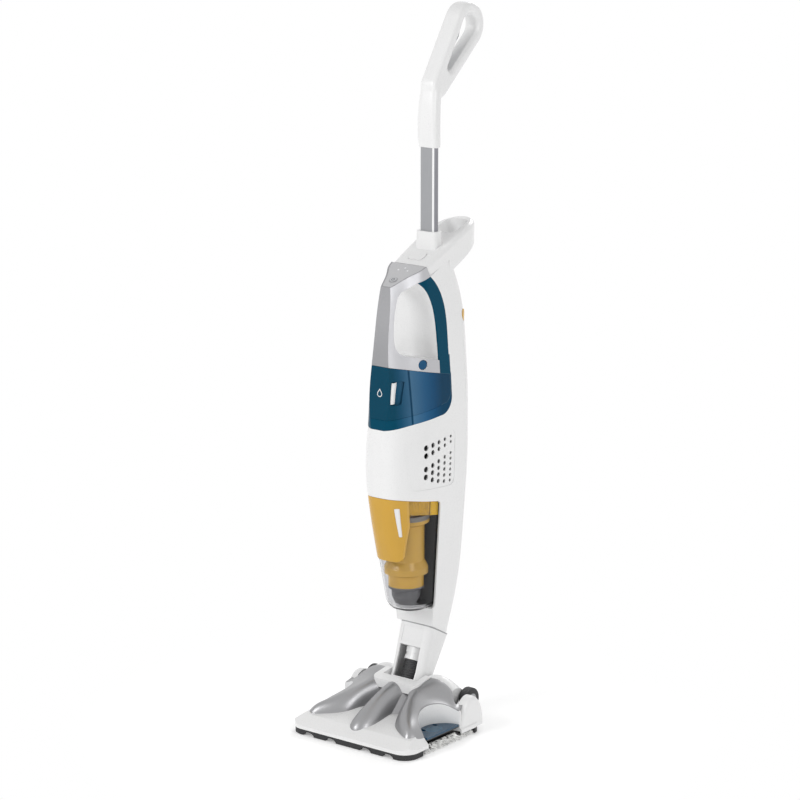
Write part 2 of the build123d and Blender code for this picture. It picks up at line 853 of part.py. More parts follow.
CYCLONE_AXIS = Axis((0, CYCLONE_Y, 0), (0, 0, 1))
with BuildPart() as cyclone:
    with BuildSketch(Plane.XZ.offset(-CYCLONE_Y)):
        with BuildLine():
            Polyline(
                (30, 396), (30, 360), (38, 360), (38, 346), (30, 342), (30, 281), (36, 270), (36, 260),
                (29, 257), (29, 238), (26, 238), (26, 259.5), (33, 262.5), (33, 269), (27, 280), (27, 396),
                close=True,
            )
        make_face()
    revolve(axis=CYCLONE_AXIS)
    add(
        side_zone(
            (-90, 200), (110, 200), (110, bucket_top(110) - LID_DEPTH), (-90, bucket_top(-90) - LID_DEPTH)
        ),
        mode=Mode.INTERSECT,
    )
    # Room in front of the flange under the lid's inlet
    add(side_zone((0, 341), (21.5, 341), (21.5, 361), (0, 361)), mode=Mode.SUBTRACT)
save(cyclone, "cyclone")

with BuildPart() as dust_cup:
    with BuildSketch(Plane.XZ.offset(-CYCLONE_Y)):
        with BuildLine():
            Polyline(
                (29, 238), (29, 234), (24, 231), (23, 219), (17, 207), (0, 207),
                (0, 209.5), (15.5, 209.5), (20.6, 219.6), (21.5, 232), (26, 235), (26, 238),
                close=True,
            )
        make_face()
    revolve(axis=CYCLONE_AXIS)
save(dust_cup, "dust_cup")

# Motor with its filter, over the dust box
BEARING_RADIUS = 4.0


def round_slug(radius, bottom, top):
    """A plain cylinder on the motor's axis."""
    with BuildPart() as slug:
        with BuildSketch(Plane.XY.offset(bottom)):
            with Locations((0, CYCLONE_Y)):
                Circle(radius)
        extrude(amount=top - bottom)
    return slug.part


with BuildPart() as motor_filter:
    add(round_slug(36.5, MOTOR_FLOOR, MOTOR_FLOOR + 12))
save(motor_filter, "motor_filter")

with BuildPart() as motor_housing:
    add(round_slug(42, 404, 500))
    add(round_slug(37, 404, 416), mode=Mode.SUBTRACT)
    add(round_slug(16, 416, 419), mode=Mode.SUBTRACT)
    add(round_slug(39, 419, 440), mode=Mode.SUBTRACT)
    add(round_slug(39, 444, 497), mode=Mode.SUBTRACT)
    add(round_slug(BEARING_RADIUS + RUNNING_FIT, 440, 500), mode=Mode.SUBTRACT)
    with BuildSketch(Plane.XZ.offset(-CYCLONE_Y)):
        with Locations((0, 429)):
            Rectangle(30, 10)
    extrude(amount=-60, mode=Mode.SUBTRACT)
save(motor_housing, "motor_housing")

with BuildPart() as motor_rotor:
    add(round_slug(BEARING_RADIUS, 421, 504))
    add(round_slug(34, 421, 424))
    add(round_slug(26, 450, 490))
    with BuildSketch(Plane.XY.offset(424)):
        with Locations((0, CYCLONE_Y)):
            with PolarLocations(20, 9):
                Rectangle(26, 1.6)
    extrude(amount=12)
save(motor_rotor, "motor_rotor")

# Steam side inside the spine: boiler, pump, board and pipes
with BuildPart() as boiler:
    with BuildSketch(Plane.XY.offset(545)):
        with Locations((0, 128)):
            Circle(22)
    extrude(amount=90)
    with BuildSketch(Plane.XZ.offset(-SPINE_FRONT - 5)):
        with Locations((0, 602)):
            Rectangle(28, 36)
    extrude(amount=-30)
save(boiler, "boiler")

with BuildPart() as water_pump:
    with BuildSketch(Plane.XY.offset(648)):
        with Locations((-25, 102)):
            Circle(12)
    extrude(amount=42)
    with BuildSketch(Plane.XZ.offset(-SPINE_FRONT - 5)):
        with Locations((-25, 668)):
            Rectangle(14, 24)
    extrude(amount=-14)
save(water_pump, "water_pump")

with BuildPart() as circuit_board:
    with BuildSketch(Plane.XZ.offset(-152)):
        with Locations((0, 617)):
            Rectangle(52, 70)
    extrude(amount=-1.6)
    with BuildSketch(Plane.XZ.offset(-152)):
        with Locations((0, 617)):
            with GridLocations(40, 58, 2, 2):
                Circle(3)
    extrude(amount=-20)
    add(skin_form, mode=Mode.INTERSECT)
save(circuit_board, "circuit_board")

with BuildPart() as riser_duct:
    with BuildLine():
        riser = FilletPolyline(
            neck_plane(NECK_LENGTH).origin,
            neck_plane(NECK_LENGTH + 22).origin,
            (0, neck_plane(NECK_LENGTH + 22).origin.Y, AIR_HEIGHT),
            (0, BAY_REAR + 4, AIR_HEIGHT),
            radius=12,
        )
    with BuildSketch(neck_plane(NECK_LENGTH)):
        Circle(AIR_RADIUS + 2)
        Circle(AIR_RADIUS, mode=Mode.SUBTRACT)
    sweep(path=riser)
save(riser_duct, "riser_duct")

with BuildPart() as steam_pipe:
    with BuildLine():
        FilletPolyline((-14, 128, 545), (-14, 128, 500), (-32, 128, 460), (-32, 128, 215), radius=20)
    with BuildSketch(Plane((-14, 128, 545), z_dir=(0, 0, -1))):
        Circle(2.5)
        Circle(1.5, mode=Mode.SUBTRACT)
    sweep()
save(steam_pipe, "steam_pipe")

# The floor head's silver cover has three fingers that run back into one saddle. Sections of the
# middle finger and the saddle, each: distance back, half width, crest
FINGER_FOOT = 15.0
FINGER_EDGE = 42.0
MIDDLE_FINGER = [(-86, 5, 24), (-74, 19, 39), (-52, 24, 52), (-22, 24, 67), (8, 27, 77), (30, 32, 81)]
SADDLE = [(-40, 30, 28), (-12, 42, 44), (10, 46, 62), (30, 50, 75), (62, 52, 79)]
# Sections of the side fingers, which bend round the cut-outs, each: angle about the cut-out,
# reach of the crest, width of the far flank, crest, height of the edge at the cut-out
SIDE_FINGER = [
    (257, 67, 5, 25, 22),
    (246, 62, 17, 40, 33),
    (225, 60, 21, 50, 45),
    (198, 67, 20, 60, 54),
    (175, 77, 19, 70, 58),
    (156, 84, 45, 78, 59),
    (140, 81, 60, 81, 58),
    (122, 70, 60, 71, 54),
    (100, 66, 60, 56, 48),
]
# Sections of the white hump behind it, each: distance back, height in the middle, then half
# width and height of the valley, the crest and the edge
REAR_SECTIONS = [
    (60, 70, (28, 76), (60, 80), (88, 66)),
    (71, 70, (28, 80), (60, 86), (88, 71)),
    (86, 66, (28, 74), (62, 79), (88, 67)),
    (102, 44, (28, 46), (62, 48), (85, 42)),
]
COVER_WALL = 3.0
COLLAR_FOOT = 64.0
HUMP_HALF = 88.2
SCOOP_X = 125.0
SCOOP_Y = -3.0
SCOOP_ACROSS = 46.0
SCOOP_ALONG = 44.0
FENDER_INNER = 106.0
FENDER_OUTER = 121.5
FENDER_Y = 74.0
FENDER_Z = 12.0
FENDER_LONG = 32.0
FENDER_TALL = 52.0


def rear_hump():
    """The white hump over the wheels, standing on the floor."""
    with BuildPart() as form:
        for y, middle, valley, crest, edge in REAR_SECTIONS:
            with BuildSketch(Plane.XZ.offset(-y)):
                with BuildLine():
                    Spline((0, middle), valley, crest, edge, tangents=[(1, 0), (1, -0.6)])
                    Polyline(edge, (edge[0], 0), (0, 0))
                    mirror(about=Plane.YZ)
                make_face()
        loft()
    return form.part


def cover_form(inset):
    """The fingered form of the silver cover, drawn in by a wall thickness."""
    foot = FINGER_FOOT - inset
    with BuildPart() as side_finger:
        for angle, reach, far, crest, edge in SIDE_FINGER:
            turn = radians(angle - inset)
            across = (cos(turn), sin(turn), 0)
            along = (across[1], -across[0], 0)
            outer = (reach + far - inset, foot)
            inner = (FINGER_EDGE - inset, edge - inset)
            with BuildSketch(Plane((SCOOP_X, SCOOP_Y, 0), x_dir=across, z_dir=along)):
                with BuildLine():
                    Spline(outer, (reach, crest - inset), inner, tangents=[(0, 1), (-1, -0.3)])
                    Polyline(inner, (FINGER_EDGE - inset, foot), outer)
                make_face()
        loft()
    with BuildPart() as form:
        for sections in (MIDDLE_FINGER, SADDLE):
            for y, half, crest in sections:
                with BuildSketch(Plane.XZ.offset(-y - inset)):
                    with Locations((0, foot)):
                        Ellipse(half - inset, crest - FINGER_FOOT)
            loft()
        add(side_finger.part)
        mirror(side_finger.part, about=Plane.YZ)
    return form.part


def front_zone(*points):
    """A block with a straight-sided outline seen from the front, each point as (x, z)."""
    with BuildPart() as zone:
        with BuildSketch(Plane.XZ):
            with BuildLine():
                Polyline(*points, close=True)
            make_face()
        extrude(amount=140, both=True)
    return zone.part


def deck_form(inset):
    """The white base of the floor head, with its bevelled front and sides."""
    top = DECK_LEVEL - inset
    bevel = BEVEL_LEVEL - inset
    lip = LIP_TOP - inset
    front = HEAD_FRONT + inset
    half = HEAD_WIDTH / 2 - inset
    bevel_half = half - 13
    top_half = half - 20
    with BuildPart() as form:
        add(head_slab(inset, LIP_BOTTOM - inset, top))
        add(
            side_zone((front, 0), (front, lip), (front + 24, bevel), (-20, top), (120, top), (120, 0)),
            mode=Mode.INTERSECT,
        )
        add(
            front_zone(
                (-half, 0), (-half, lip), (-bevel_half, bevel), (-top_half, top),
                (top_half, top), (bevel_half, bevel), (half, lip), (half, 0),
            ),
            mode=Mode.INTERSECT,
        )
    return form.part


def head_slab(inset, bottom, top):
    """A slab with the floor head's plan outline, drawn in from the edge."""
    with BuildPart() as slab:
        with BuildSketch(Plane.XY.offset(bottom)):
            RectangleRounded(
                HEAD_WIDTH - 2 * inset, HEAD_REAR - HEAD_FRONT - 2 * inset, HEAD_CORNER - inset
            )
        extrude(amount=top - bottom)
    return slab.part


def scoops(growth, bottom, top):
    """The oval cut-outs in both sides of the head, larger or smaller by a growth."""
    with BuildPart() as ovals:
        with BuildSketch(Plane.XY.offset(bottom)):
            with Locations((SCOOP_X, SCOOP_Y), (-SCOOP_X, SCOOP_Y)):
                Ellipse(SCOOP_ACROSS + growth, SCOOP_ALONG + growth)
        extrude(amount=top - bottom)
    return ovals.part


under_cover = cover_form(COVER_WALL)
side_scoops = scoops(0, 0, 120)

with BuildPart() as neck_slot:
    with BuildSketch(Plane.XY.offset(15)):
        with Locations((0, 82)):
            Rectangle(2 * SLOT_HALF, 124)
    extrude(amount=120)

with BuildPart() as scoop_walls:
    add(scoops(COVER_WALL, LIP_BOTTOM, 120))
    add(side_scoops, mode=Mode.SUBTRACT)
    add(under_cover, mode=Mode.INTERSECT)

# Domed fenders beside the wheels
with BuildPart() as fenders:
    for side in (-1, 1):
        with BuildSketch(Plane.YZ.offset(FENDER_INNER * side)):
            with Locations((FENDER_Y, FENDER_Z)):
                Ellipse(FENDER_LONG, FENDER_TALL)
            with Locations((FENDER_Y, LIP_BOTTOM - 50)):
                Rectangle(90, 100, mode=Mode.SUBTRACT)
        extrude(amount=(FENDER_OUTER - FENDER_INNER) * side)
    domes = fenders.edges().filter_by(lambda edge: abs(abs(edge.center().X) - FENDER_OUTER) < 0.01)
    fillet(domes.filter_by(GeomType.LINE, reverse=True), 8)

# White shell of the floor head
with BuildPart() as head_shell:
    add(deck_form(0))
    add(rear_hump())
    add(deck_form(SHELL_WALL), mode=Mode.SUBTRACT)
    with BuildSketch(Plane.XY):
        with Locations((-62, 80), (62, 80)):
            Rectangle(44, 33)
    extrude(amount=62, mode=Mode.SUBTRACT)
    with BuildSketch(Plane.XY):
        Rectangle(300, 300)
    extrude(amount=LIP_BOTTOM, mode=Mode.SUBTRACT)
    add(scoop_walls.part)
    add(fenders.part)
    add(side_scoops, mode=Mode.SUBTRACT)
    # Cheeks that hold the tilt pins
    for side in (-1, 1):
        with BuildSketch(Plane.YZ.offset(SLOT_HALF * side)):
            with Locations((PIVOT_Y, 37)):
                Rectangle(34, 54)
        extrude(amount=6 * side)
    add(neck_slot.part, mode=Mode.SUBTRACT)
    add(head_slab(SHELL_WALL, 0, LIP_BOTTOM + 3), mode=Mode.SUBTRACT)
    # Wheel pockets, wheel axle holes and tilt pin holes
    for side in (-1, 1):
        with BuildSketch(Plane.YZ.offset((WHEEL_INNER - 1.5) * side)):
            with Locations((WHEEL_Y, WHEEL_Z)):
                Circle(WHEEL_RADIUS + 2)
        extrude(amount=(FENDER_INNER - WHEEL_INNER + 1.5) * side, mode=Mode.SUBTRACT)
        with BuildSketch(Plane.YZ.offset(80 * side)):
            with Locations((WHEEL_Y, WHEEL_Z)):
                Circle(3)
        extrude(amount=34 * side, mode=Mode.SUBTRACT)
        with BuildSketch(Plane.YZ.offset(30 * side)):
            with Locations((PIVOT_Y, PIVOT_Z)):
                Circle(PIN_RADIUS)
        extrude(amount=12 * side, mode=Mode.SUBTRACT)
save(head_shell, "head_shell")

# White collar round the neck, hollowed for the drum that turns in it
with BuildPart() as collar_block:
    with BuildSketch(Plane.XY.offset(COLLAR_FOOT)):
        with Locations((0, 48)):
            RectangleRounded(92, 60, 12)
    extrude(amount=60)

with BuildPart() as neck_collar:
    add(collar_block.part)
    add(
        side_zone((0, COLLAR_FOOT), (0, 74), (30, 81.5), (60, 86), (60, COLLAR_FOOT)),
        mode=Mode.INTERSECT,
    )
    with BuildSketch(Plane.XY):
        with Locations((0, 82)):
            Rectangle(2 * SLOT_HALF, 92)
    extrude(amount=120, mode=Mode.SUBTRACT)
    with BuildSketch(Plane.YZ):
        with Locations((PIVOT_Y, PIVOT_Z)):
            Circle(DRUM_RADIUS + 1.5)
    extrude(amount=SLOT_HALF, both=True, mode=Mode.SUBTRACT)
save(neck_collar, "neck_collar")

# Silver cover, resting on the white base and ending at the hump, the drum and the wheels
with BuildPart() as head_cover:
    add(cover_form(0))
    add(under_cover, mode=Mode.SUBTRACT)
    add(side_zone((-110, 22), (71.5, 22), (71.5, 100), (-110, 100)), mode=Mode.INTERSECT)
    add(side_scoops, mode=Mode.SUBTRACT)
    add(deck_form(0), mode=Mode.SUBTRACT)
    add(collar_block.part, mode=Mode.SUBTRACT)
    with BuildSketch(Plane.YZ):
        with Locations((PIVOT_Y, PIVOT_Z)):
            Circle(DRUM_RADIUS + 1.5)
    extrude(amount=SLOT_HALF, both=True, mode=Mode.SUBTRACT)
    with BuildSketch(Plane.XY):
        with Locations((0, 82)):
            Rectangle(2 * SLOT_HALF, 92)
        with Locations((0, 110)):
            Rectangle(2 * HUMP_HALF, 100)
    extrude(amount=120, mode=Mode.SUBTRACT)
    for side in (-1, 1):
        with BuildSketch(Plane.YZ.offset((FENDER_INNER - MOVING_GAP) * side)):
            with Locations((FENDER_Y, FENDER_Z)):
                Ellipse(FENDER_LONG + MOVING_GAP, FENDER_TALL + MOVING_GAP)
        extrude(amount=40 * side, mode=Mode.SUBTRACT)
save(head_cover, "head_cover")

with BuildPart() as head_base:
    add(head_slab(SHELL_WALL, LIP_BOTTOM, LIP_BOTTOM + 3))
    add(side_scoops, mode=Mode.SUBTRACT)
    with BuildSketch(Plane.XY):
        with Locations((0, -79)):
            RectangleRounded(200, 18, 6)
        with Locations((0, -20)):
            Circle(5)
    extrude(amount=20, mode=Mode.SUBTRACT)
save(head_base, "head_base")

with BuildPart() as suction_duct:
    add(side_zone((-87, 13), (-70, 13), (-62, 16), (18, 16), (18, 27), (-55, 27), (-87, 17.5), half=42))
    add(
        side_zone((-85, 12), (-72, 12), (-63, 18), (20, 18), (20, 25), (-55.5, 25), (-85, 15.7), half=40),
        mode=Mode.SUBTRACT,
    )
save(suction_duct, "suction_duct")

with BuildPart() as steam_nozzle:
    with BuildSketch(Plane.XY.offset(LIP_BOTTOM)):
        with Locations((0, -20)):
            Circle(5)
            Circle(1.5, mode=Mode.SUBTRACT)
    extrude(amount=5.8)
save(steam_nozzle, "steam_nozzle")

# Rubber skirts that ring the sole
with BuildPart() as skirt_ring:
    add(head_slab(1, 0.5, LIP_BOTTOM))
    add(head_slab(8, 0.5, LIP_BOTTOM), mode=Mode.SUBTRACT)

with BuildPart() as front_skirt:
    add(skirt_ring.part)
    add(side_zone((-120, 0), (-60, 0), (-60, 20), (-120, 20)), mode=Mode.INTERSECT)
    for x in (-82, -36, 36, 82):
        with BuildSketch(Plane.XZ.offset(60)):
            with Locations((x, 0.5)):
                Ellipse(11, 6)
        extrude(amount=60, mode=Mode.SUBTRACT)
save(front_skirt, "front_skirt")

with BuildPart() as rear_skirts:
    add(skirt_ring.part)
    add(side_zone((78, 0), (120, 0), (120, 20), (78, 20)), mode=Mode.INTERSECT)
    with BuildSketch(Plane.XY):
        with Locations((0, 90)):
            Rectangle(130, 60)
    extrude(amount=20, mode=Mode.SUBTRACT)
save(rear_skirts, "rear_skirts")

# Wheels on steel axles, and the steel tilt pins
for side, name in ((1, "wheel_right"), (-1, "wheel_left")):
    with BuildPart() as wheel:
        with BuildSketch(Plane.YZ.offset(WHEEL_INNER * side)):
            with Locations((WHEEL_Y, WHEEL_Z)):
                Circle(WHEEL_RADIUS)
                Circle(3 + RUNNING_FIT, mode=Mode.SUBTRACT)
        extrude(amount=WHEEL_WIDTH * side)
        fillet(wheel.edges().filter_by(GeomType.CIRCLE).sort_by(SortBy.RADIUS)[-2:], 3)
    save(wheel, name)

with BuildPart() as wheel_axles:
    for side in (-1, 1):
        with BuildSketch(Plane.YZ.offset(80 * side)):
            with Locations((WHEEL_Y, WHEEL_Z)):
                Circle(3)
        extrude(amount=34 * side)
save(wheel_axles, "wheel_axles")

with BuildPart() as tilt_pins:
    for side in (-1, 1):
        with BuildSketch(Plane.YZ.offset(22 * side)):
            with Locations((PIVOT_Y, PIVOT_Z)):
                Circle(PIN_RADIUS)
        extrude(amount=18 * side)
save(tilt_pins, "tilt_pins")

# Mop frame with the two pedals that let it go
PEDAL_X = 90.0
PEDAL_Z = 18.0
LUG_PLACES = [-19, 13]
with BuildPart() as mop_ears:
    add(scoops(-2, PAD_THICKNESS, 12.5))
    with BuildSketch(Plane.XY):
        Rectangle(236, 200)
    extrude(amount=20, mode=Mode.INTERSECT)

with BuildPart() as mop_frame:
    with BuildSketch(Plane.XY.offset(PAD_THICKNESS)):
        with Locations((0, 8)):
            RectangleRounded(224, 132, 14)
    extrude(amount=3.5)
    add(mop_ears.part)
    for side in (-1, 1):
        for y in LUG_PLACES:
            with BuildSketch(Plane.XZ.offset(-y)):
                with Locations((PEDAL_X * side, 15)):
                    Rectangle(8, 14)
            extrude(amount=2.5, both=True)
            with BuildSketch(Plane.XZ.offset(-y)):
                with Locations((PEDAL_X * side, PEDAL_Z)):
                    Circle(2)
            extrude(amount=5, both=True, mode=Mode.SUBTRACT)
save(mop_frame, "mop_frame")

with BuildPart() as pedal_pins:
    for side in (-1, 1):
        with BuildSketch(Plane.XZ.offset(22)):
            with Locations((PEDAL_X * side, PEDAL_Z)):
                Circle(2)
        extrude(amount=-38)
save(pedal_pins, "pedal_pins")

for side, name in ((1, "pedal_right"), (-1, "pedal_left")):
    with BuildPart() as pedal:
        with BuildSketch(Plane.XY.offset(PEDAL_Z + 2.5)):
            with Locations((SCOOP_X * side, SCOOP_Y)):
                Ellipse(SCOOP_ACROSS - 1.6, SCOOP_ALONG - 1.6)
            with Locations((100 * side, SCOOP_Y)):
                Rectangle(38, 200, mode=Mode.INTERSECT)
        extrude(amount=5)
        for y in LUG_PLACES:
            with BuildSketch(Plane.XY):
                with Locations((PEDAL_X * side, y)):
                    Rectangle(9, 6)
            extrude(amount=60, mode=Mode.SUBTRACT)
        with BuildSketch(Plane.XZ.offset(16)):
            with Locations((PEDAL_X * side, PEDAL_Z)):
                Circle(4)
        extrude(amount=-26)
        with BuildSketch(Plane.XZ.offset(30)):
            with Locations((PEDAL_X * side, PEDAL_Z)):
                Circle(2 + RUNNING_FIT)
        extrude(amount=-60, mode=Mode.SUBTRACT)
    save(pedal, name)

with BuildPart() as mop_pad:
    with BuildSketch():
        with Locations((0, (PAD_FRONT + PAD_REAR) / 2)):
            RectangleRounded(2 * PAD_HALF, PAD_REAR - PAD_FRONT, 20)
    extrude(amount=PAD_THICKNESS)
    fillet(mop_pad.faces().sort_by(Axis.Z)[-1].edges(), 2.4)
    fillet(mop_pad.faces().sort_by(Axis.Z)[0].edges(), 2.4)
save(mop_pad, "mop_pad")

# Neck between the head and the body, with the hose behind its front window
def neck_form(inset, bottom):
    """The neck from near the pivot up to its seam, drawn in by a wall thickness."""
    levels = [
        (bottom, NECK_HALF - 2, 42, 0),
        (40, NECK_HALF - 1, 42, 0),
        (NECK_LENGTH - 2, NECK_HALF, 60, -4),
    ]
    with BuildPart() as form:
        for distance, half, depth, shift in levels:
            with BuildSketch(neck_plane(distance)):
                with Locations((0, shift)):
                    RectangleRounded(2 * (half - inset), depth - 2 * inset, 13 - inset)
        loft(ruled=True)
    return form.part


with BuildPart() as neck_window:
    with BuildSketch(neck_plane(28)):
        with Locations((0, -30)):
            Rectangle(42, 60)
    extrude(amount=53)
    fillet(neck_window.faces().sort_by(Axis.Y)[0].edges(), 2)

# A plate across the top of the window, and the ridged cuff that comes down from it
CUFF_RINGS = [(60, 7, 19.8), (67, 4, 18.6), (71, 6, 20.2), (77, 5, 20.8)]
with BuildPart() as neck_cuff:
    with BuildSketch(neck_plane(81)):
        Rectangle(100, 100)
    extrude(amount=3)
    add(neck_form(SHELL_WALL - 0.5, 14), mode=Mode.INTERSECT)
    for distance, length, radius in CUFF_RINGS:
        with BuildSketch(neck_plane(distance)):
            Circle(radius)
        extrude(amount=length)
    with BuildSketch(neck_plane(40)):
        Circle(HOSE_RADIUS - 1)
    extrude(amount=60, mode=Mode.SUBTRACT)

with BuildPart() as front_dip:
    with BuildSketch(neck_plane(86)):
        with Locations((0, -40)):
            RectangleRounded(40, 70, 8)
    extrude(amount=26)
    add(neck_form(0, 0), mode=Mode.INTERSECT)
    add(neck_form(1, 0), mode=Mode.SUBTRACT)

with BuildPart() as neck:
    add(neck_form(0, 0))
    with BuildSketch(Plane.YZ):
        with Locations((PIVOT_Y, PIVOT_Z)):
            Circle(DRUM_RADIUS)
    extrude(amount=DRUM_HALF, both=True)
    add(neck_form(SHELL_WALL, 14), mode=Mode.SUBTRACT)
    add(neck_window.part, mode=Mode.SUBTRACT)
    add(front_dip.part, mode=Mode.SUBTRACT)
    add(neck_cuff.part)
    for side in (-1, 1):
        with BuildSketch(Plane.YZ.offset(21 * side)):
            with Locations((PIVOT_Y, PIVOT_Z)):
                Circle(PIN_RADIUS + RUNNING_FIT)
        extrude(amount=20 * side, mode=Mode.SUBTRACT)
save(neck, "neck")

with BuildPart() as suction_hose:
    with BuildSketch(neck_plane(14)):
        Circle(HOSE_RADIUS - 1)
        Circle(HOSE_BORE - 1, mode=Mode.SUBTRACT)
    extrude(amount=NECK_LENGTH - 14)
save(suction_hose, "suction_hose")

with BuildPart() as neck_seal:
    with BuildSketch(neck_plane(NECK_LENGTH - 2)):
        with Locations((0, -4)):
            RectangleRounded(2 * NECK_HALF, 60, 13)
            RectangleRounded(2 * NECK_HALF - 8, 52, 9, mode=Mode.SUBTRACT)
    extrude(amount=2)
save(neck_seal, "neck_seal")

# Tube and handle
with BuildPart() as tube:
    with BuildSketch(Plane.XY.offset(TUBE_BOTTOM)):
        with Locations((0, TUBE_Y)):
            RectangleRounded(TUBE_WIDTH, TUBE_DEPTH, 6)
            RectangleRounded(TUBE_WIDTH - 2 * TUBE_WALL, TUBE_DEPTH - 2 * TUBE_WALL, 4.5, mode=Mode.SUBTRACT)
    extrude(amount=274)
save(tube, "tube")

LOOP_LOW = (125, 1047)
LOOP_HIGH = (202, 1136)
HOLE_LOW = (151, 1074)
HOLE_HIGH = (203, 1136)
LOOP_HALF = 15.0
TRIGGER_PLANE = Plane((0, 144.2, 1078.1), x_dir=(0, 0.517, 0.856), z_dir=(-1, 0, 0))
TRIGGER_PIN = (9, -5)


def hole_block(inset, half):
    """The block that fills the handle's hole, drawn in by a rim thickness."""
    with BuildPart() as block:
        with BuildSketch(Plane.YZ):
            with Locations(HOLE_LOW):
                Circle(8 - inset)
            with Locations(HOLE_HIGH):
                Circle(20.5 - inset)
            make_hull()
        extrude(amount=half, both=True)
    return block.part


with BuildPart() as trigger_pocket:
    with BuildSketch(TRIGGER_PLANE):
        with Locations((35, -4)):
            Rectangle(68, 18)
    extrude(amount=6.5, both=True)

with BuildPart() as handle:
    with BuildSketch(Plane.YZ):
        with Locations(LOOP_LOW):
            Circle(20)
        with Locations(LOOP_HIGH):
            Circle(37)
        make_hull()
    extrude(amount=LOOP_HALF, both=True)
    add(hole_block(0, 40), mode=Mode.SUBTRACT)
    fillet(handle.edges().filter_by(lambda edge: abs(abs(edge.center().X) - LOOP_HALF) < 0.01), 5)
    with BuildSketch(Plane.XY.offset(SLEEVE_BOTTOM)):
        with Locations((0, TUBE_Y + 1)):
            RectangleRounded(SLEEVE_WIDTH, SLEEVE_DEPTH, 8)
    with BuildSketch(Plane.XY.offset(1030)):
        with Locations((0, TUBE_Y + 3)):
            RectangleRounded(SLEEVE_WIDTH - 3, SLEEVE_DEPTH + 4, 9)
    with BuildSketch(Plane.XY.offset(1062)):
        with Locations((0, TUBE_Y + 10)):
            RectangleRounded(SLEEVE_WIDTH - 8, SLEEVE_DEPTH + 4, 9)
    loft()
    add(trigger_pocket.part, mode=Mode.SUBTRACT)
    with BuildSketch(Plane.XY.offset(SLEEVE_BOTTOM)):
        with Locations((0, TUBE_Y)):
            RectangleRounded(TUBE_WIDTH, TUBE_DEPTH, 6)
    extrude(amount=61, mode=Mode.SUBTRACT)
    with BuildSketch(TRIGGER_PLANE):
        with Locations(TRIGGER_PIN):
            Circle(2)
    extrude(amount=11, both=True, mode=Mode.SUBTRACT)
save(handle, "handle")

with BuildPart() as handle_rim:
    add(hole_block(0, 11))
    add(hole_block(2.5, 20), mode=Mode.SUBTRACT)
    add(trigger_pocket.part, mode=Mode.SUBTRACT)
save(handle_rim, "handle_rim")

with BuildPart() as steam_trigger:
    with BuildSketch(TRIGGER_PLANE):
        with BuildLine():
            Polyline(
                (4, -9), (14, -9), (64, -4.5), (66, 1), (62, 8), (54, 9.5), (12, 2), (4, -1), close=True
            )
        make_face()
        with Locations(TRIGGER_PIN):
            Circle(2 + RUNNING_FIT, mode=Mode.SUBTRACT)
    extrude(amount=6, both=True)
save(steam_trigger, "steam_trigger")

with BuildPart() as trigger_pin:
    with BuildSketch(TRIGGER_PLANE):
        with Locations(TRIGGER_PIN):
            Circle(2)
    extrude(amount=11, both=True)
save(trigger_pin, "trigger_pin")
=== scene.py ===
"""Studio picture of an upright vacuum cleaner and steam mop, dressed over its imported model."""

import json
import math
import random

import bpy
from mathutils import Matrix, Vector
from mathutils.bvhtree import BVHTree


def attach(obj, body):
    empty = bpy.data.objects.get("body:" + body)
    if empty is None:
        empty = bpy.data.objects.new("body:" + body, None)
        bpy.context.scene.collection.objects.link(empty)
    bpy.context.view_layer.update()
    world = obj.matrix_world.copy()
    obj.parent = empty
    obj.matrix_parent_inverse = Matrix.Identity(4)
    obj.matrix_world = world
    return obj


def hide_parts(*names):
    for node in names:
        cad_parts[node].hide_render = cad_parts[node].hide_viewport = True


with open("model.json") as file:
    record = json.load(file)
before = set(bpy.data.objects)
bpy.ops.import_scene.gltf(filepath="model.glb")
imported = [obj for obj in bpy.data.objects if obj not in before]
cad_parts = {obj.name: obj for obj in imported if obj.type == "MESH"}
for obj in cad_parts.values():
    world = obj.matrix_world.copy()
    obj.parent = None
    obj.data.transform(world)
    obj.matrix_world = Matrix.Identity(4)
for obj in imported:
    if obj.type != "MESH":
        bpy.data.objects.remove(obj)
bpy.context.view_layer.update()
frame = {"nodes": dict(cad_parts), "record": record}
nodes = frame["nodes"]


# Camera at the photograph's angle
CAMERA_PLACE = (2.97826, -3.77785, 1.72884)
CAMERA_AIM = (-0.01147, 0.05104, 0.54515)
CAMERA_LENS = 139.7
CAMERA_REACH = 60.0
SENSOR_WIDTH = 36.0


def place_camera():
    lens = bpy.data.cameras.new("studio_camera")
    lens.lens = CAMERA_LENS
    lens.sensor_width = SENSOR_WIDTH
    lens.clip_end = CAMERA_REACH
    camera = bpy.data.objects.new("studio_camera", lens)
    bpy.context.scene.collection.objects.link(camera)
    camera.location = CAMERA_PLACE
    gaze = Vector(CAMERA_AIM) - Vector(CAMERA_PLACE)
    camera.rotation_euler = gaze.to_track_quat("-Z", "Y").to_euler()
    bpy.context.scene.camera = camera


# Colours
def tint(red, green, blue):
    """A colour as the eye sees it, 0 to 255, made linear for the shader."""
    linear = []
    for channel in (red, green, blue):
        if channel > 10:
            linear.append(((channel / 255 + 0.055) / 1.055) ** 2.4)
        else:
            linear.append(channel / 3295)
    return tuple(linear)


def shade(colour, factor):
    """A colour made lighter or darker."""
    return tuple(min(1.0, channel * factor) for channel in colour)


FULL = (1, 1, 1)
WHITE = (0.80, 0.80, 0.80)
SILVER = (0.33, 0.33, 0.338)
FRAME_SILVER = (0.33, 0.33, 0.342)
PANEL_SILVER = (0.50, 0.50, 0.51)
PALE_SILVER = tint(186, 187, 190)
TEAL = tint(0, 68, 92)
# Paler blue painted on the tank's flank as a painted highlight
SEA = tint(58, 102, 134)
AMBER = tint(216, 168, 62)
YELLOW = tint(240, 190, 40)
BLACK = (0.018, 0.018, 0.019)
GREY = tint(122, 122, 124)

# Middle of the power button's face and of the hand opening, in metres
POWER_PLACE = (0.0, 0.0185, 0.7500)
HAND_PLACE = (0.0, 0.038, 0.675)
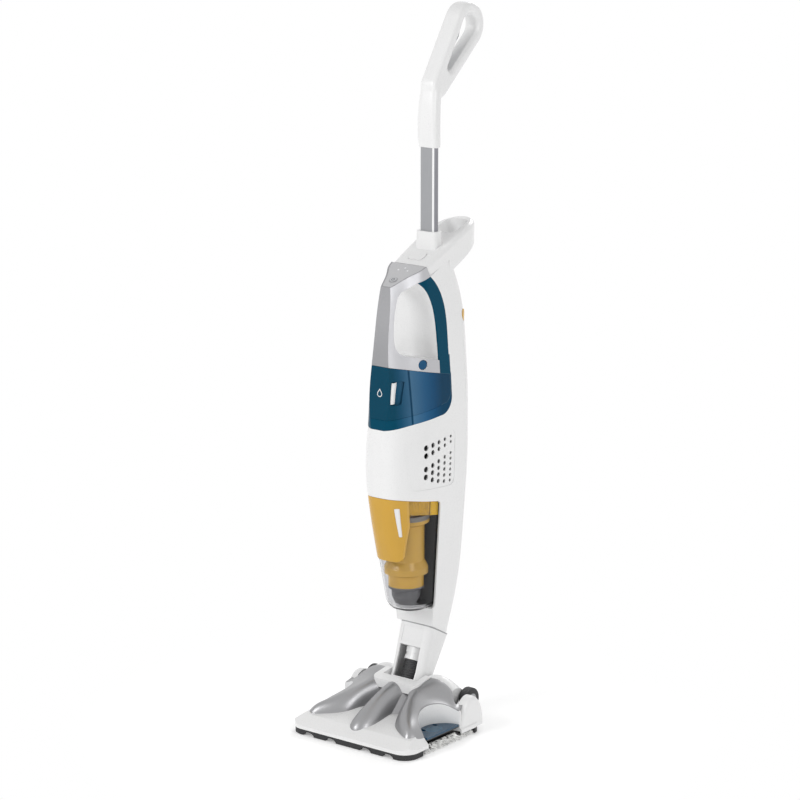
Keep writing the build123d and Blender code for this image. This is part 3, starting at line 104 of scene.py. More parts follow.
# Middle of a wheel (Y, Z), of a pedal's oval (X, Y) and of the drop on the tank (X, Z)
WHEEL_CENTRE = (0.094, 0.049)
PEDAL_OVAL = (0.101, -0.003)
TANK_MARK = (0.0005, 0.570)
# Radius of the drop, and the width of its line
TANK_MARK_SIZE = 0.0050
TANK_MARK_LINE = 0.0014
# The tank's bay in the body: how far back each step of it goes, and from what height
BAY_STEPS = ((0.1035, 0.549), (0.0985, 0.539))
BAY_TOP = 0.620
# The hand opening lies above this height and in front of this depth
HAND_SILL = 0.600
HAND_DEPTH = 0.079


# Finishes
class Sheet:
    """A material's node tree, with short ways to add and join its nodes."""

    def __init__(self, name):
        self.material = bpy.data.materials.new(name)
        self.material.use_nodes = True
        self.tree = self.material.node_tree
        self.shader = self.tree.nodes["Principled BSDF"]
        self.place = self.add("ShaderNodeTexCoord")
        self.spot = self.place.outputs["Object"]

    def add(self, kind, **settings):
        node = self.tree.nodes.new(kind)
        for key, value in settings.items():
            setattr(node, key, value)
        return node

    def join(self, start, end):
        self.tree.links.new(start, end)

    def set(self, **values):
        """Sets the shader's own sockets, with _ for a space in a name."""
        for key, value in values.items():
            self.shader.inputs[key.replace("_", " ")].default_value = value

    def colour(self, output):
        self.join(output, self.shader.inputs["Base Color"])

    def math(self, operation, first, second=0.0):
        """One sum on two values, each a socket or a number."""
        node = self.add("ShaderNodeMath", operation=operation)
        for socket, value in zip(node.inputs, (first, second)):
            if isinstance(value, (int, float)):
                socket.default_value = value
            else:
                self.join(value, socket)
        return node.outputs["Value"]

    def above(self, value, limit):
        return self.math("GREATER_THAN", value, limit)

    def below(self, value, limit):
        return self.math("LESS_THAN", value, limit)

    def all_of(self, *masks):
        """A mask that holds only where each of these does."""
        whole = masks[0]
        for mask in masks[1:]:
            whole = self.math("MULTIPLY", whole, mask)
        return whole

    def reach(self, first, second):
        """The length of a step with these two sides."""
        squares = [self.math("POWER", side, 2.0) for side in (first, second)]
        return self.math("SQRT", self.math("ADD", *squares))

    def along(self, lean, across, up):
        """How far two coordinates go along a line that leans by an angle."""
        return self.math(
            "ADD",
            self.math("MULTIPLY", across, math.cos(lean)),
            self.math("MULTIPLY", up, math.sin(lean)),
        )

    def axis(self, letter):
        """The piece's own coordinate along an axis, in metres."""
        split = self.add("ShaderNodeSeparateXYZ")
        self.join(self.spot, split.inputs["Vector"])
        return split.outputs[letter]

    def away(self, centre):
        """Distance from a point on the piece, in metres."""
        gap = self.add("ShaderNodeVectorMath", operation="DISTANCE")
        gap.inputs[1].default_value = centre
        self.join(self.spot, gap.inputs[0])
        return gap.outputs["Value"]

    def noise(self, scale, detail=3.0, stretch=(1, 1, 1)):
        """Noise on the piece's own coordinates, stretched along an axis if asked."""
        mapping = self.add("ShaderNodeMapping")
        mapping.inputs["Scale"].default_value = stretch
        grain = self.add("ShaderNodeTexNoise")
        grain.inputs["Scale"].default_value = scale
        grain.inputs["Detail"].default_value = detail
        self.join(self.spot, mapping.inputs["Vector"])
        self.join(mapping.outputs["Vector"], grain.inputs["Vector"])
        return grain.outputs["Fac"]

    def stops(self, value, *stops):
        """Runs a value through colours, each given with the value it stands at."""
        low, high = stops[0][0], stops[-1][0]
        scale = self.add("ShaderNodeMapRange")
        scale.inputs["From Min"].default_value = low
        scale.inputs["From Max"].default_value = high
        self.join(value, scale.inputs["Value"])
        ramp = self.add("ShaderNodeValToRGB")
        elements = ramp.color_ramp.elements
        elements[0].position = 0.0
        elements[0].color = (*stops[0][1], 1)
        elements[1].position = 1.0
        elements[1].color = (*stops[-1][1], 1)
        for mark, colour in stops[1:-1]:
            elements.new((mark - low) / (high - low)).color = (*colour, 1)
        self.join(scale.outputs["Result"], ramp.inputs["Fac"])
        return ramp.outputs["Color"]

    def mottled(self, value, dark, light):
        """Two colours, shared out by a noise value."""
        return self.stops(value, (0.3, dark), (0.7, light))

    def mix(self, amount, first, second, blend="MIX"):
        """Mixes two colours, each a socket or a plain colour."""
        node = self.add("ShaderNodeMix", data_type="RGBA", blend_type=blend)
        if isinstance(amount, (int, float)):
            node.inputs[0].default_value = amount
        else:
            self.join(amount, node.inputs[0])
        for socket, value in ((node.inputs[6], first), (node.inputs[7], second)):
            if isinstance(value, tuple):
                socket.default_value = (*value, 1)
            else:
                self.join(value, socket)
        return node.outputs[2]

    def drifting(self, colour, vary):
        """A colour that drifts a little in tone over the piece."""
        drift = self.mottled(self.noise(9.0, 2.0), shade(FULL, 1 - 2 * vary), FULL)
        return self.mix(1.0, colour, drift, "MULTIPLY")

    def gloss(self, value, low, high):
        """Uneven gloss: roughness runs between two numbers with a noise value."""
        span = self.add("ShaderNodeMapRange")
        span.inputs["From Min"].default_value = 0.25
        span.inputs["From Max"].default_value = 0.75
        span.inputs["To Min"].default_value = low
        span.inputs["To Max"].default_value = high
        self.join(value, span.inputs["Value"])
        self.join(span.outputs["Result"], self.shader.inputs["Roughness"])

    def bump(self, value, strength, distance=0.0004):
        bump = self.add("ShaderNodeBump")
        bump.inputs["Strength"].default_value = strength
        bump.inputs["Distance"].default_value = distance
        self.join(value, bump.inputs["Height"])
        self.join(bump.outputs["Normal"], self.shader.inputs["Normal"])

    def skin(self, rough, grain=700.0, relief=0.05):
        """Uneven gloss and the fine texture of a moulding."""
        texture = self.noise(grain, 2.0)
        self.gloss(texture, rough * 0.8, rough * 1.2)
        self.bump(texture, relief)

    def faces_inward(self, middle):
        """A mask of the faces that look towards the middle of an opening."""
        inward = self.add("ShaderNodeVectorMath", operation="SUBTRACT")
        inward.inputs[0].default_value = middle
        self.join(self.spot, inward.inputs[1])
        ray = self.add("ShaderNodeVectorMath", operation="NORMALIZE")
        self.join(inward.outputs["Vector"], ray.inputs[0])
        facing = self.add("ShaderNodeVectorMath", operation="DOT_PRODUCT")
        self.join(ray.outputs["Vector"], facing.inputs[0])
        self.join(self.place.outputs["Normal"], facing.inputs[1])
        return self.above(facing.outputs["Value"], 0.15)

    def faces_sideways(self):
        """How far a face looks to either side, from 0 to 1."""
        sides = self.add("ShaderNodeSeparateXYZ")
        self.join(self.place.outputs["Normal"], sides.inputs["Vector"])
        return self.math("POWER", self.math("ABSOLUTE", sides.outputs["X"]), 2.0)

    def drop_outline(self, centre, size, line):
        """A mask that draws the outline of a plain water drop on the front of a piece."""
        lean = math.radians(35.0)
        across = self.math("ABSOLUTE", self.math("SUBTRACT", self.axis("X"), centre[0]))
        up = self.math("SUBTRACT", self.axis("Z"), centre[1])
        in_tip = self.above(up, self.math("MULTIPLY", across, math.tan(lean)))
        reach = self.math(
            "ADD",
            self.all_of(self.along(lean, across, up), in_tip),
            self.all_of(self.reach(across, up), self.math("SUBTRACT", 1.0, in_tip)),
        )
        in_line = self.all_of(self.below(reach, size), self.above(reach, size - line))
        return self.all_of(in_line, self.below(self.axis("Y"), 0.0))


def moulded(name, colour, rough, vary=0.03, grain=700.0, relief=0.05, **sockets):
    """Moulded plastic of one colour."""
    sheet = Sheet(name)
    sheet.colour(sheet.drifting(colour, vary))
    sheet.skin(rough, grain, relief)
    sheet.set(**sockets)
    return sheet.material


def metallic_paint(name, colour, rough, opening=None):
    """Silver paint with fine flakes. Round an opening its flanks carry a painted highlight, paler
    where the light falls, and its lining is white.
    """
    metal = 0.8
    sheet = Sheet(name)
    flakes = sheet.noise(2600.0, 1.0)
    paint = sheet.mottled(flakes, shade(colour, 0.9), shade(colour, 1.1))
    if opening:
        lining = sheet.faces_inward(opening)
        # Painted highlight: faces that look to either side are painted paler, as if lit from the side
        paint = sheet.mix(sheet.faces_sideways(), paint, shade(colour, 1.5))
        paint = sheet.mix(lining, paint, WHITE)
        painted = sheet.math("SUBTRACT", 1.0, lining)
        sheet.join(sheet.math("MULTIPLY", painted, metal), sheet.shader.inputs["Metallic"])
    else:
        sheet.set(Metallic=metal)
    sheet.colour(paint)
    sheet.gloss(sheet.noise(300.0, 2.0), rough * 0.9, rough * 1.15)
    sheet.bump(flakes, 0.05, 0.0002)
    return sheet.material


def brushed(name, colour, rough, stretch):
    """Drawn metal with its grain along one way."""
    sheet = Sheet(name)
    grain = sheet.noise(900.0, 4.0, stretch)
    sheet.colour(sheet.mottled(grain, shade(colour, 0.92), shade(colour, 1.06)))
    sheet.gloss(grain, rough * 0.75, rough * 1.25)
    sheet.bump(grain, 0.05, 0.0002)
    sheet.set(Metallic=1.0)
    return sheet.material


def plush(name, dark, light):
    """Microfibre yarn or foam: a mottled pile with a soft sheen."""
    sheet = Sheet(name)
    sheet.colour(sheet.mottled(sheet.noise(160.0, 3.0), dark, light))
    sheet.bump(sheet.noise(800.0, 4.0), 0.5, 0.0008)
    sheet.set(Roughness=0.9, Sheen_Weight=0.5, Sheen_Roughness=0.4)
    return sheet.material


def tank_plastic(name, clear, marked=False):
    """Blue plastic with painted light: painted shade in front, a painted highlight paling the flanks
    and painted shade darkening it again to the rear.
    """
    # Narrow darker line where the front meets the flank
    crease_line = tint(8, 60, 90)
    sheet = Sheet(name)
    # Painted light by depth: painted shade on the front, a painted highlight on the flank, a narrow
    # darker line where the front meets the flank, and painted shade towards the rear
    flank = sheet.stops(
        sheet.axis("Y"),
        (-0.020, TEAL),
        (-0.011, TEAL),
        (-0.002, tint(22, 78, 108)),
        (0.0135, SEA),
        (0.0150, crease_line),
        (0.0165, crease_line),
        (0.0180, tint(72, 114, 146)),
        (0.040, tint(44, 94, 134)),
        (0.062, tint(8, 72, 112)),
        (0.080, tint(0, 60, 90)),
    )
    tone = sheet.drifting(flank, 0.03)
    if marked:
        drop = sheet.drop_outline(TANK_MARK, TANK_MARK_SIZE, TANK_MARK_LINE)
        tone = sheet.mix(drop, tone, WHITE)
    sheet.colour(tone)
    sheet.skin(0.2, relief=0.02)
    sheet.set(Transmission_Weight=clear, IOR=1.45, Specular_IOR_Level=0.08)
    return sheet.material


def shell_plastic():
    """White plastic, tinted in the tank's bay so that no pale line shows round the tank."""
    sheet = Sheet("body_white")
    height = sheet.axis("Z")
    depth = sheet.axis("Y")
    steps = [
        sheet.all_of(sheet.below(depth, rear), sheet.above(height, sill)) for rear, sill in BAY_STEPS
    ]
    off_hand = (sheet.above(depth, HAND_DEPTH), sheet.below(height, HAND_SILL))
    bay = sheet.all_of(
        sheet.math("MAXIMUM", *steps),
        sheet.below(height, BAY_TOP),
        sheet.math("MAXIMUM", *off_hand),
    )
    sheet.colour(sheet.drifting(sheet.mix(bay, WHITE, TEAL), 0.012))
    sheet.skin(0.3)
    sheet.set(Coat_Weight=0.2, Coat_Roughness=0.15)
    return sheet.material


def cyclone_plastic():
    """Amber plastic with the grey gasket ring round its flange."""
    grey_band = tint(150, 146, 140)
    pale = tint(240, 192, 92)
    sheet = Sheet("cyclone_amber")
    ring = sheet.stops(
        sheet.axis("Z"),
        (0.20, pale),
        (0.3515, pale),
        (0.3520, grey_band),
        (0.3605, grey_band),
        (0.3610, pale),
        (0.40, pale),
    )
    sheet.colour(sheet.drifting(ring, 0.04))
    sheet.skin(0.2, relief=0.03)
    return sheet.material


def lid_plastic():
    """Amber lid with the bright catch block at its rear corners."""
    edge = tint(120, 84, 20)
    sheet = Sheet("lid_amber")
    block = sheet.stops(
        sheet.axis("Y"),
        (-0.03, AMBER),
        (0.0545, AMBER),
        (0.0550, edge),
        (0.0565, edge),
        (0.0570, YELLOW),
        (0.10, YELLOW),
    )
    sheet.colour(sheet.drifting(block, 0.04))
    sheet.skin(0.25)
    return sheet.material


def smoky_plastic():
    """Clear grey plastic, with a darker grey band over its rear wall."""
    clear = (0.80, 0.80, 0.81)
    grey_band = (0.34, 0.34, 0.355)
    sheet = Sheet("smoky_clear")
    # From 0.075 m back the wall turns a darker grey
    wall = sheet.stops(sheet.axis("Y"), (-0.03, clear), (0.0740, clear), (0.0750, grey_band), (0.10, grey_band))
    sheet.colour(sheet.drifting(wall, 0.02))
    sheet.skin(0.03, relief=0.01)
    sheet.set(Transmission_Weight=1.0, IOR=1.18)
    return sheet.material


def tube_metal():
    """Drawn aluminium with a painted highlight along each corner and painted shade on its narrow
    sides.
    """
    face = tint(160, 161, 164)
    # Colour of the painted highlight on each corner, then of the painted shade on the narrow sides
    bright = tint(250, 250, 250)
    edge = tint(140, 140, 146)
    sheet = Sheet("tube_alloy")
    grain = sheet.noise(900.0, 4.0, (1, 1, 0.02))
    # Painted light across the tube: plain front face, a painted highlight on each corner, painted
    # shade on the narrow sides
    corner = sheet.stops(
        sheet.math("ABSOLUTE", sheet.axis("X")),
        (0.0, face),
        (0.0112, face),
        (0.0120, bright),
        (0.0136, bright),
        (0.0144, edge),
        (0.016, edge),
    )
    streaks = sheet.mottled(grain, shade(FULL, 0.93), FULL)
    sheet.colour(sheet.mix(1.0, corner, streaks, "MULTIPLY"))
    sheet.gloss(grain, 0.28, 0.42)
    sheet.bump(grain, 0.04, 0.0002)
    sheet.set(Metallic=0.35)
    return sheet.material


def wheel_rubber():
    """Black ribbed tread round a light hub."""
    rubber = tint(44, 44, 46)
    hub = PALE_SILVER
    ribs_round = 48.0
    sheet = Sheet("wheel_rubber")
    across = sheet.math("SUBTRACT", sheet.axis("Y"), WHEEL_CENTRE[0])
    up = sheet.math("SUBTRACT", sheet.axis("Z"), WHEEL_CENTRE[1])
    reach = sheet.reach(across, up)
    sheet.colour(sheet.stops(reach, (0.0, hub), (0.0105, hub), (0.0110, rubber), (0.021, rubber)))
    turn = sheet.math("MULTIPLY", sheet.math("ARCTAN2", up, across), ribs_round)
    sheet.bump(sheet.math("SINE", turn), 0.6, 0.0012)
    sheet.set(Roughness=0.55)
    return sheet.material


def hose_rubber():
    """Dark hose with close ribs along its length."""
    rise = math.radians(62.0)
    ribs_pitch = 1500.0
    sheet = Sheet("hose_rubber")
    length = sheet.along(rise, sheet.axis("Y"), sheet.axis("Z"))
    sheet.colour(sheet.drifting(tint(56, 56, 58), 0.1))
    sheet.bump(sheet.math("SINE", sheet.math("MULTIPLY", length, ribs_pitch)), 0.5, 0.0012)
    sheet.set(Roughness=0.5)
    return sheet.material


def pedal_plastic():
    """Blue pedal with a paler raised oval and a dark underside."""
    blue = tint(20, 68, 96)
    pale = tint(34, 84, 112)
    rim = tint(72, 116, 142)
    dark = tint(40, 42, 45)
    narrowing = 1.5
    underside = 0.0222
    sheet = Sheet("pedal_blue")
    side = sheet.math("SUBTRACT", sheet.math("ABSOLUTE", sheet.axis("X")), PEDAL_OVAL[0])
    across = sheet.math("MULTIPLY", side, narrowing)
    front = sheet.math("SUBTRACT", sheet.axis("Y"), PEDAL_OVAL[1])
    oval = sheet.stops(
        sheet.reach(across, front),
        (0.0, pale),
        (0.0150, pale),
        (0.0158, rim),
        (0.0168, blue),
        (0.05, blue),
    )
    under = sheet.below(sheet.axis("Z"), underside)
    sheet.colour(sheet.drifting(sheet.mix(under, oval, dark), 0.05))
    sheet.skin(0.16, relief=0.02)
    sheet.set(Transmission_Weight=0.1, IOR=1.45)
    return sheet.material


def power_plastic():
    """Silver button with a dark ring and stroke, the common on and off sign."""
    dark = tint(78, 80, 84)
    sheet = Sheet("power_button")
    reach = sheet.away(POWER_PLACE)
    ring = sheet.stops(
        reach,
        (0.0, PALE_SILVER),
        (0.0019, PALE_SILVER),
        (0.0021, dark),
        (0.0031, dark),
        (0.0033, PALE_SILVER),
        (0.0055, PALE_SILVER),
        (0.0058, tint(150, 151, 154)),
        (0.008, tint(220, 220, 222)),
    )
    off_middle = sheet.math("ABSOLUTE", sheet.axis("X"))
    gap = sheet.all_of(
        sheet.below(off_middle, 0.0009),
        sheet.above(sheet.axis("Y"), POWER_PLACE[1]),
        sheet.below(reach, 0.0038),
    )
    stroke = sheet.all_of(gap, sheet.below(off_middle, 0.0005))
    sheet.colour(sheet.mix(stroke, sheet.mix(gap, ring, PALE_SILVER), dark))
    sheet.skin(0.3)
    return sheet.material


# Finish of each of the record's material slots
finishes = {
    "white_gloss": moulded("white_gloss", WHITE, 0.3, 0.012, Coat_Weight=0.2, Coat_Roughness=0.15),
    "silver_satin": metallic_paint("silver_satin", SILVER, 0.34),
    "teal_clear": tank_plastic("teal_clear", 0.12, marked=True),
    "teal": moulded("teal", TEAL, 0.25, 0.04, relief=0.03, Specular_IOR_Level=0.06),
    "blue_clear": moulded(
        "blue_clear", tint(14, 78, 118), 0.2, 0.05, relief=0.02, Specular_IOR_Level=0.25
    ),
    "amber_clear": moulded(
        "amber_clear", AMBER, 0.14, 0.04, relief=0.02, Transmission_Weight=0.15, IOR=1.45
    ),
    "smoky_clear": smoky_plastic(),
    "amber": lid_plastic(),
    "dark_plastic": moulded("dark_plastic", BLACK, 0.45, 0.15, relief=0.12),
    "grey_plastic": moulded("grey_plastic", GREY, 0.4, 0.05, relief=0.1),
    "grey_rubber": moulded("grey_rubber", tint(165, 165, 167), 0.5, 0.05, relief=0.1),
    "slate_plastic": moulded("slate_plastic", tint(66, 80, 94), 0.35, 0.06, relief=0.1),
    "black_rubber": moulded("black_rubber", tint(40, 40, 42), 0.62, 0.12, 420.0, 0.25),
    "steel": brushed("steel", (0.60, 0.60, 0.60), 0.3, (1, 1, 0.05)),
    "boiler_alloy": brushed("boiler_alloy", (0.55, 0.55, 0.56), 0.45, (1, 1, 1)),
    "tube_alloy": tube_metal(),
    "pipe_silicone": moulded("pipe_silicone", (0.6, 0.6, 0.58), 0.5, 0.05),
    "board_green": moulded("board_green", (0.02, 0.16, 0.06), 0.4, 0.1),
    "light_lens": moulded("light_lens", (0.85, 0.86, 0.88), 0.15, 0.02),
    "yellow": moulded("yellow", tint(214, 164, 48), 0.25, 0.04),
    "filter_foam": plush("filter_foam", (0.02, 0.02, 0.02), (0.07, 0.07, 0.07)),
    "microfibre": plush("microfibre", tint(205, 205, 204), tint(250, 250, 248)),
}

# Pieces that carry a finish of their own within their record slot
own_finishes = {
    "body_shell": shell_plastic(),
    "tank_band": tank_plastic("tank_band", 0.0),
    "cyclone": cyclone_plastic(),
    "wheel_left": wheel_rubber(),
    "suction_hose": hose_rubber(),
    "pedal_left": pedal_plastic(),
    "power_button": power_plastic(),
    "carry_frame": metallic_paint("silver_frame", FRAME_SILVER, 0.36, HAND_PLACE),
    "control_panel": metallic_paint("silver_panel", PANEL_SILVER, 0.4),
}
own_finishes["wheel_right"] = own_finishes["wheel_left"]
own_finishes["pedal_right"] = own_finishes["pedal_left"]


def paint_nodes():
    for subpart in frame["record"]["subparts"]:
        node = nodes[subpart["node"]]
        finish = own_finishes.get(subpart["node"], finishes[subpart["material_slot"]])
        node.data.materials.clear()
        node.data.materials.append(finish)


# Modelling by hand
def clear_selection():
    if bpy.context.object and bpy.context.object.mode == "EDIT":
        bpy.ops.object.mode_set(mode="OBJECT")
    bpy.ops.object.select_all(action="DESELECT")


def pick_points(piece, test):
    """Selects the points of a piece that pass a test, and leaves it in edit mode."""
    bpy.ops.object.mode_set(mode="EDIT")
    bpy.ops.mesh.select_mode(type="VERT")
    bpy.ops.mesh.select_all(action="DESELECT")
    bpy.ops.object.mode_set(mode="OBJECT")
    for point in piece.data.vertices:
        point.select = test(point.co)
    bpy.ops.object.mode_set(mode="EDIT")


def pick_upright_edges(piece):
    """Selects the edges of a piece that stand straight up, and leaves it in edit mode."""
    bpy.ops.object.mode_set(mode="EDIT")
    bpy.ops.mesh.select_all(action="DESELECT")
    bpy.ops.mesh.select_mode(type="EDGE")
    bpy.ops.object.mode_set(mode="OBJECT")
    points = piece.data.vertices
    for edge in piece.data.edges:
        first, last = (points[index].co for index in edge.vertices)
        edge.select = abs(first.x - last.x) < 1e-6 and abs(first.y - last.y) < 1e-6
    bpy.ops.object.mode_set(mode="EDIT")


def settle(piece):
    """Puts a piece's place into its mesh and leaves its object at the origin."""
    clear_selection()
    piece.select_set(True)
    bpy.context.view_layer.objects.active = piece
    bpy.ops.object.transform_apply(location=True, rotation=True, scale=True)


def reskin(piece, voxel):
    """Rebuilds the active piece as one even skin."""
    remesh = piece.modifiers.new("remesh", "REMESH")
    remesh.mode = "VOXEL"
    remesh.voxel_size = voxel
    bpy.ops.object.modifier_apply(modifier="remesh")


# Mop pad, and how much smaller it starts than its solid before it is stuffed
PAD_HALF = 0.121
PAD_FRONT = -0.058
PAD_REAR = 0.075
PAD_TOP = 0.006
PAD_SLACK = (0.008, 0.006, 0.001)
PAD_CORNER = 0.02
PAD_VOXEL = 0.0025
PAD_CEILING = PAD_TOP - 0.0003
SWELL_LIMIT = 0.003
SWELL_PRESSURE = 4.0
SWELL_STEPS = 20


def swell_pad(pad):
    scene = bpy.context.scene
    cloth = pad.modifiers.new("cloth", "CLOTH")
    cloth.settings.use_pressure = True
    cloth.settings.uniform_pressure_force = SWELL_PRESSURE
    cloth.settings.effector_weights.gravity = 0.0
    cloth.point_cache.frame_start = 1
    cloth.point_cache.frame_end = SWELL_STEPS
    for step in range(1, SWELL_STEPS + 1):
        scene.frame_set(step)
    bpy.ops.object.modifier_apply(modifier="cloth")
    scene.frame_set(1)


def sew_mop_pad():
    """The pad's body: a stuffed slab that swells between its edges and lies flat on the floor."""
    clear_selection()
    middle = (PAD_FRONT + PAD_REAR) / 2
    bpy.ops.mesh.primitive_cube_add(size=1.0, location=(0, middle, 0.5 * PAD_TOP))
    pad = bpy.context.object
    pad.name = "microfibre_pad"
    full_size = (2 * PAD_HALF, PAD_REAR - PAD_FRONT, PAD_TOP)
    pad.scale = [full - slack for full, slack in zip(full_size, PAD_SLACK)]
    settle(pad)
    pick_upright_edges(pad)
    bpy.ops.mesh.bevel(offset=PAD_CORNER, segments=6)
    bpy.ops.object.mode_set(mode="OBJECT")
    reskin(pad, PAD_VOXEL)
    resting = [point.co.copy() for point in pad.data.vertices]
    swell_pad(pad)
    for point, start in zip(pad.data.vertices, resting):
        step = point.co - start
        if step.length > SWELL_LIMIT:
            point.co = start + step * (SWELL_LIMIT / step.length)
        point.co.z = min(max(point.co.z, 0.0), PAD_CEILING)
    bpy.ops.object.shade_smooth()
    pad.data.materials.append(finishes["microfibre"])
    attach(pad, "mop")
    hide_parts("mop_pad")


# One strand of the fringe
YARN_RADIUS = 0.0014
YARN_LENGTH = 0.009
# Ends of the fringe along the pad's sides and rear, and where its strands are rooted
FRINGE_FRONT = PAD_FRONT + 0.006
FRINGE_REAR = PAD_REAR - 0.004
FRINGE_HALF = PAD_HALF - 0.012
SIDE_ROOT = PAD_HALF - 0.0035
FIRST_ROW = 0.0016
SOLE_GAP = 0.0002
# Rows of strands: more of them below a pedal, each row higher and further in than the last
PEDAL_STRETCH = (-0.040, 0.033)
PEDAL_ROWS = 6
SIDE_ROWS = 3
SIDE_STEP = 0.0028
SIDE_RISE = 0.0021
SIDE_INSET = 0.0006
REAR_ROWS = 2
REAR_STEP = 0.0042
REAR_RISE = 0.0022
# How far a root strays along its row
STRAY = 0.002


def model_yarn():
    """One loop of the fringe: a plump tapered strand, standing up from the origin."""
    clear_selection()
    middle = (0, 0, YARN_LENGTH / 2)
    bpy.ops.mesh.primitive_cylinder_add(
        vertices=6, radius=YARN_RADIUS, depth=YARN_LENGTH, location=middle
    )
    yarn = bpy.context.object
    settle(yarn)
    bpy.ops.object.mode_set(mode="EDIT")
    bpy.ops.mesh.select_all(action="SELECT")
    bpy.ops.mesh.subdivide(number_cuts=1)
    bpy.ops.object.mode_set(mode="OBJECT")
    pick_points(yarn, lambda spot: YARN_LENGTH / 3 < spot.z < YARN_LENGTH * 2 / 3)
    bpy.ops.transform.resize(value=(1.5, 1.5, 1.0), center_override=middle)
    bpy.ops.object.mode_set(mode="OBJECT")
    pick_points(yarn, lambda spot: spot.z > YARN_LENGTH - 0.0001)
    bpy.ops.transform.resize(value=(0.5, 0.5, 1.0), center_override=(0, 0, YARN_LENGTH))
    bpy.ops.object.mode_set(mode="OBJECT")
    return yarn


def fringe_places(chance):
    """Roots, leans and sizes of the strands along the pad's edges, in rows from the sole up."""
    places = []
    for side in (-1, 1):
        y = FRINGE_FRONT
        while y < FRINGE_REAR:
            by_pedal = PEDAL_STRETCH[0] < y < PEDAL_STRETCH[1]
            for row in range(PEDAL_ROWS if by_pedal else SIDE_ROWS):
                height = FIRST_ROW + SIDE_RISE * row + chance.uniform(0, 0.0008)
                edge = side * (SIDE_ROOT - SIDE_INSET * row)
                root = Vector((edge, y + chance.uniform(-STRAY, STRAY), height))
                lean = Vector((side, chance.uniform(-1.0, 1.0), chance.uniform(-0.35, 0.3)))
                places.append((root, lean, chance.uniform(0.65, 0.95)))
            y += SIDE_STEP
    x = -FRINGE_HALF
    while x < FRINGE_HALF:
        for row in range(REAR_ROWS):
            height = FIRST_ROW + REAR_RISE * row
            root = Vector((x + chance.uniform(-STRAY, STRAY), FRINGE_REAR, height))
            lean = Vector((chance.uniform(-0.9, 0.9), 1.0, chance.uniform(-0.25, 0.15)))
            places.append((root, lean, chance.uniform(0.4, 0.55)))
        x += REAR_STEP
    return places


def tuft_fringe():
    """Hundreds of strands round the pad's sides and rear, each with its own mesh until joined."""
    chance = random.Random(7)
    yarn = model_yarn()
    strands = []
    for root, lean, size in fringe_places(chance):
        turn = lean.to_track_quat("Z", "Y").to_matrix().to_4x4()
        mesh = yarn.data.copy()
        mesh.transform(Matrix.Translation(root) @ turn @ Matrix.Scale(size, 4))
        lowest = min(point.co.z for point in mesh.vertices)
        if lowest < SOLE_GAP:
            mesh.transform(Matrix.Translation((0, 0, SOLE_GAP - lowest)))
        strand = bpy.data.objects.new("strand", mesh)
        bpy.context.scene.collection.objects.link(strand)
        strands.append(strand)
    bpy.data.objects.remove(yarn)
    clear_selection()
    for strand in strands:
        strand.select_set(True)
    bpy.context.view_layer.objects.active = strands[0]
    bpy.ops.object.join()
    fringe = bpy.context.object
    fringe.name = "microfibre_fringe"
    bpy.ops.object.shade_smooth()
    fringe.data.materials.append(finishes["microfibre"])
    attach(fringe, "mop")


# Handle: its skin, how often that is smoothed, and the room kept sharp round the trigger
HANDLE_VOXEL = 0.0010
SMOOTH_ROUNDS = 48
POCKET_GAP = 0.004
POCKET_FADE = 0.006


def soften_off_trigger(grip):
    """Weighs the handle's points from 0 beside the trigger to 1 well away from it."""
    trigger = nodes["steam_trigger"].data
    corners = [point.co for point in trigger.vertices]
    pocket = BVHTree.FromPolygons(corners, [face.vertices for face in trigger.polygons])
    soft = grip.vertex_groups.new(name="soft")
    for point in grip.data.vertices:
        reach = pocket.find_nearest(point.co)[3]
        weight = min(max((reach - POCKET_GAP) / POCKET_FADE, 0.0), 1.0)
        soft.add([point.index], weight, "REPLACE")


def round_handle():
    """The handle and its rim as one soft-edged moulding."""
    clear_selection()
    for name in ("handle", "handle_rim"):
        source = nodes[name]
        mesh = source.data.copy()
        mesh.transform(source.matrix_world)
        copy = bpy.data.objects.new("rounded_handle", mesh)
        bpy.context.scene.collection.objects.link(copy)
        copy.select_set(True)
        bpy.context.view_layer.objects.active = copy
    bpy.ops.object.join()
    grip = bpy.context.object
    grip.name = "rounded_handle"
    reskin(grip, HANDLE_VOXEL)
    soften_off_trigger(grip)
    smooth = grip.modifiers.new("smooth", "SMOOTH")
    smooth.factor = 0.5
    smooth.iterations = SMOOTH_ROUNDS
    smooth.vertex_group = "soft"
    bpy.ops.object.modifier_apply(modifier="smooth")
    bpy.ops.object.shade_smooth()
    grip.data.materials.clear()
    grip.data.materials.append(finishes["white_gloss"])
    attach(grip, "handle")
    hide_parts("handle", "handle_rim")


# Studio: the floor, where its shadow fades into plain white, and the level of the world's light
FLOOR_SIZE = 60.0
FLOOR_DROP = 0.0005
SHADOW_CENTRE = (0, 0.02, 0)
SHADOW_NEAR = 0.16
SHADOW_FAR = 0.55
WORLD_LEVEL = 0.52
# Soft lamps: name, place, aim, size and power
LAMPS = (
    ("key_lamp", (-1.2, -3.0, 2.4), (0, 0, 0.55), (1.8, 1.8), 54),
    ("side_lamp", (2.8, -0.6, 1.6), (0, 0, 0.55), (0.8, 1.8), 20),
    ("back_lamp", (-0.6, 2.6, 2.2), (0, 0, 0.6), (1.4, 1.4), 26),
)


def soft_lamp(name, place, aim, size, power):
    lamp = bpy.data.lights.new(name, "AREA")
    lamp.shape = "RECTANGLE"
    lamp.size, lamp.size_y = size
    lamp.energy = power
    holder = bpy.data.objects.new(name, lamp)
    bpy.context.scene.collection.objects.link(holder)
    holder.location = place
    holder.rotation_euler = (Vector(aim) - Vector(place)).to_track_quat("-Z", "Y").to_euler()


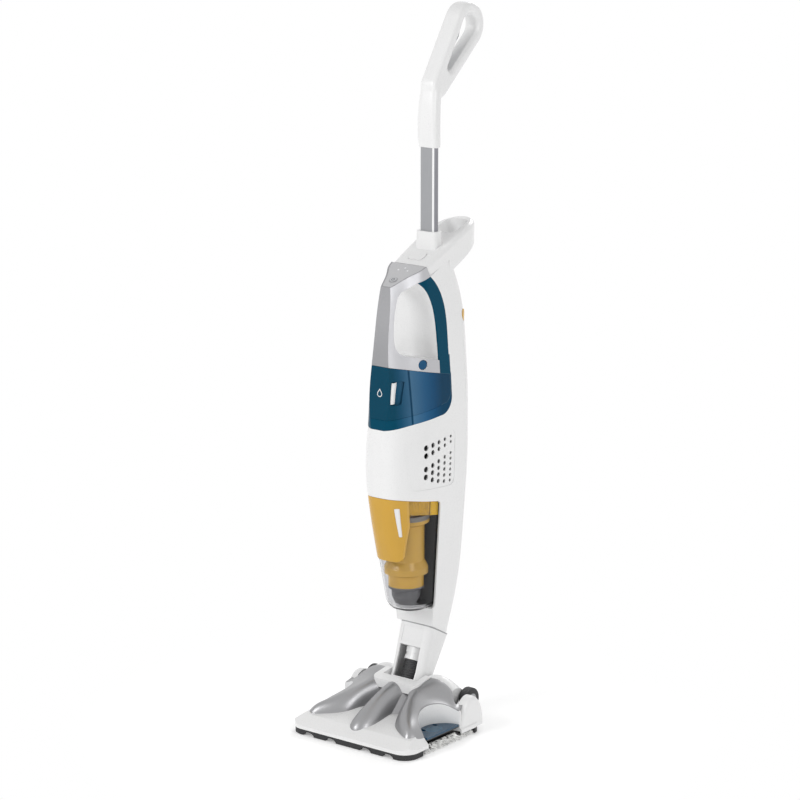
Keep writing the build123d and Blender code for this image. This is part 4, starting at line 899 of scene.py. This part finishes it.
def seen_directly(tree):
    """A value that is 1 for rays that show the background itself, in glass and metal too."""
    path = tree.nodes.new("ShaderNodeLightPath")
    total = path.outputs["Is Camera Ray"]
    for ray in ("Is Glossy Ray", "Is Transmission Ray"):
        larger = tree.nodes.new("ShaderNodeMath")
        larger.operation = "MAXIMUM"
        tree.links.new(total, larger.inputs[0])
        tree.links.new(path.outputs[ray], larger.inputs[1])
        total = larger.outputs["Value"]
    return total


def floor_paper():
    """Pale paper that takes the shadow near the object and shows plain white beyond it."""
    sheet = Sheet("studio_floor")
    sheet.colour(sheet.mottled(sheet.noise(3.0, 2.0), shade(FULL, 0.88), shade(FULL, 0.9)))
    sheet.set(Roughness=0.9, Emission_Color=(1, 1, 1, 1), Emission_Strength=0.25)
    white = sheet.add("ShaderNodeEmission")
    white.inputs["Strength"].default_value = 1.0
    fade = sheet.add("ShaderNodeMapRange", interpolation_type="SMOOTHSTEP")
    fade.inputs["From Min"].default_value = SHADOW_NEAR
    fade.inputs["From Max"].default_value = SHADOW_FAR
    sheet.join(sheet.away(SHADOW_CENTRE), fade.inputs["Value"])
    blend = sheet.add("ShaderNodeMixShader")
    beyond = sheet.all_of(fade.outputs["Result"], seen_directly(sheet.tree))
    sheet.join(beyond, blend.inputs["Fac"])
    sheet.join(sheet.shader.outputs["BSDF"], blend.inputs[1])
    sheet.join(white.outputs["Emission"], blend.inputs[2])
    sheet.join(blend.outputs["Shader"], sheet.tree.nodes["Material Output"].inputs["Surface"])
    return sheet.material


def light_world():
    world = bpy.data.worlds.new("studio_world")
    bpy.context.scene.world = world
    world.use_nodes = True
    tree = world.node_tree
    background = tree.nodes["Background"]
    background.inputs["Color"].default_value = (1, 1, 1, 1)
    level = tree.nodes.new("ShaderNodeMapRange")
    level.inputs["To Min"].default_value = WORLD_LEVEL
    level.inputs["To Max"].default_value = 1.0
    tree.links.new(seen_directly(tree), level.inputs["Value"])
    tree.links.new(level.outputs["Result"], background.inputs["Strength"])


def build_studio():
    clear_selection()
    bpy.ops.mesh.primitive_plane_add(size=FLOOR_SIZE, location=(0, 0, -FLOOR_DROP))
    floor = bpy.context.object
    floor.name = "studio_floor"
    floor.data.materials.append(floor_paper())
    light_world()
    for lamp in LAMPS:
        soft_lamp(*lamp)


bpy.context.scene.view_settings.view_transform = "Standard"
place_camera()
paint_nodes()
sew_mop_pad()
tuft_fringe()
round_handle()
build_studio()
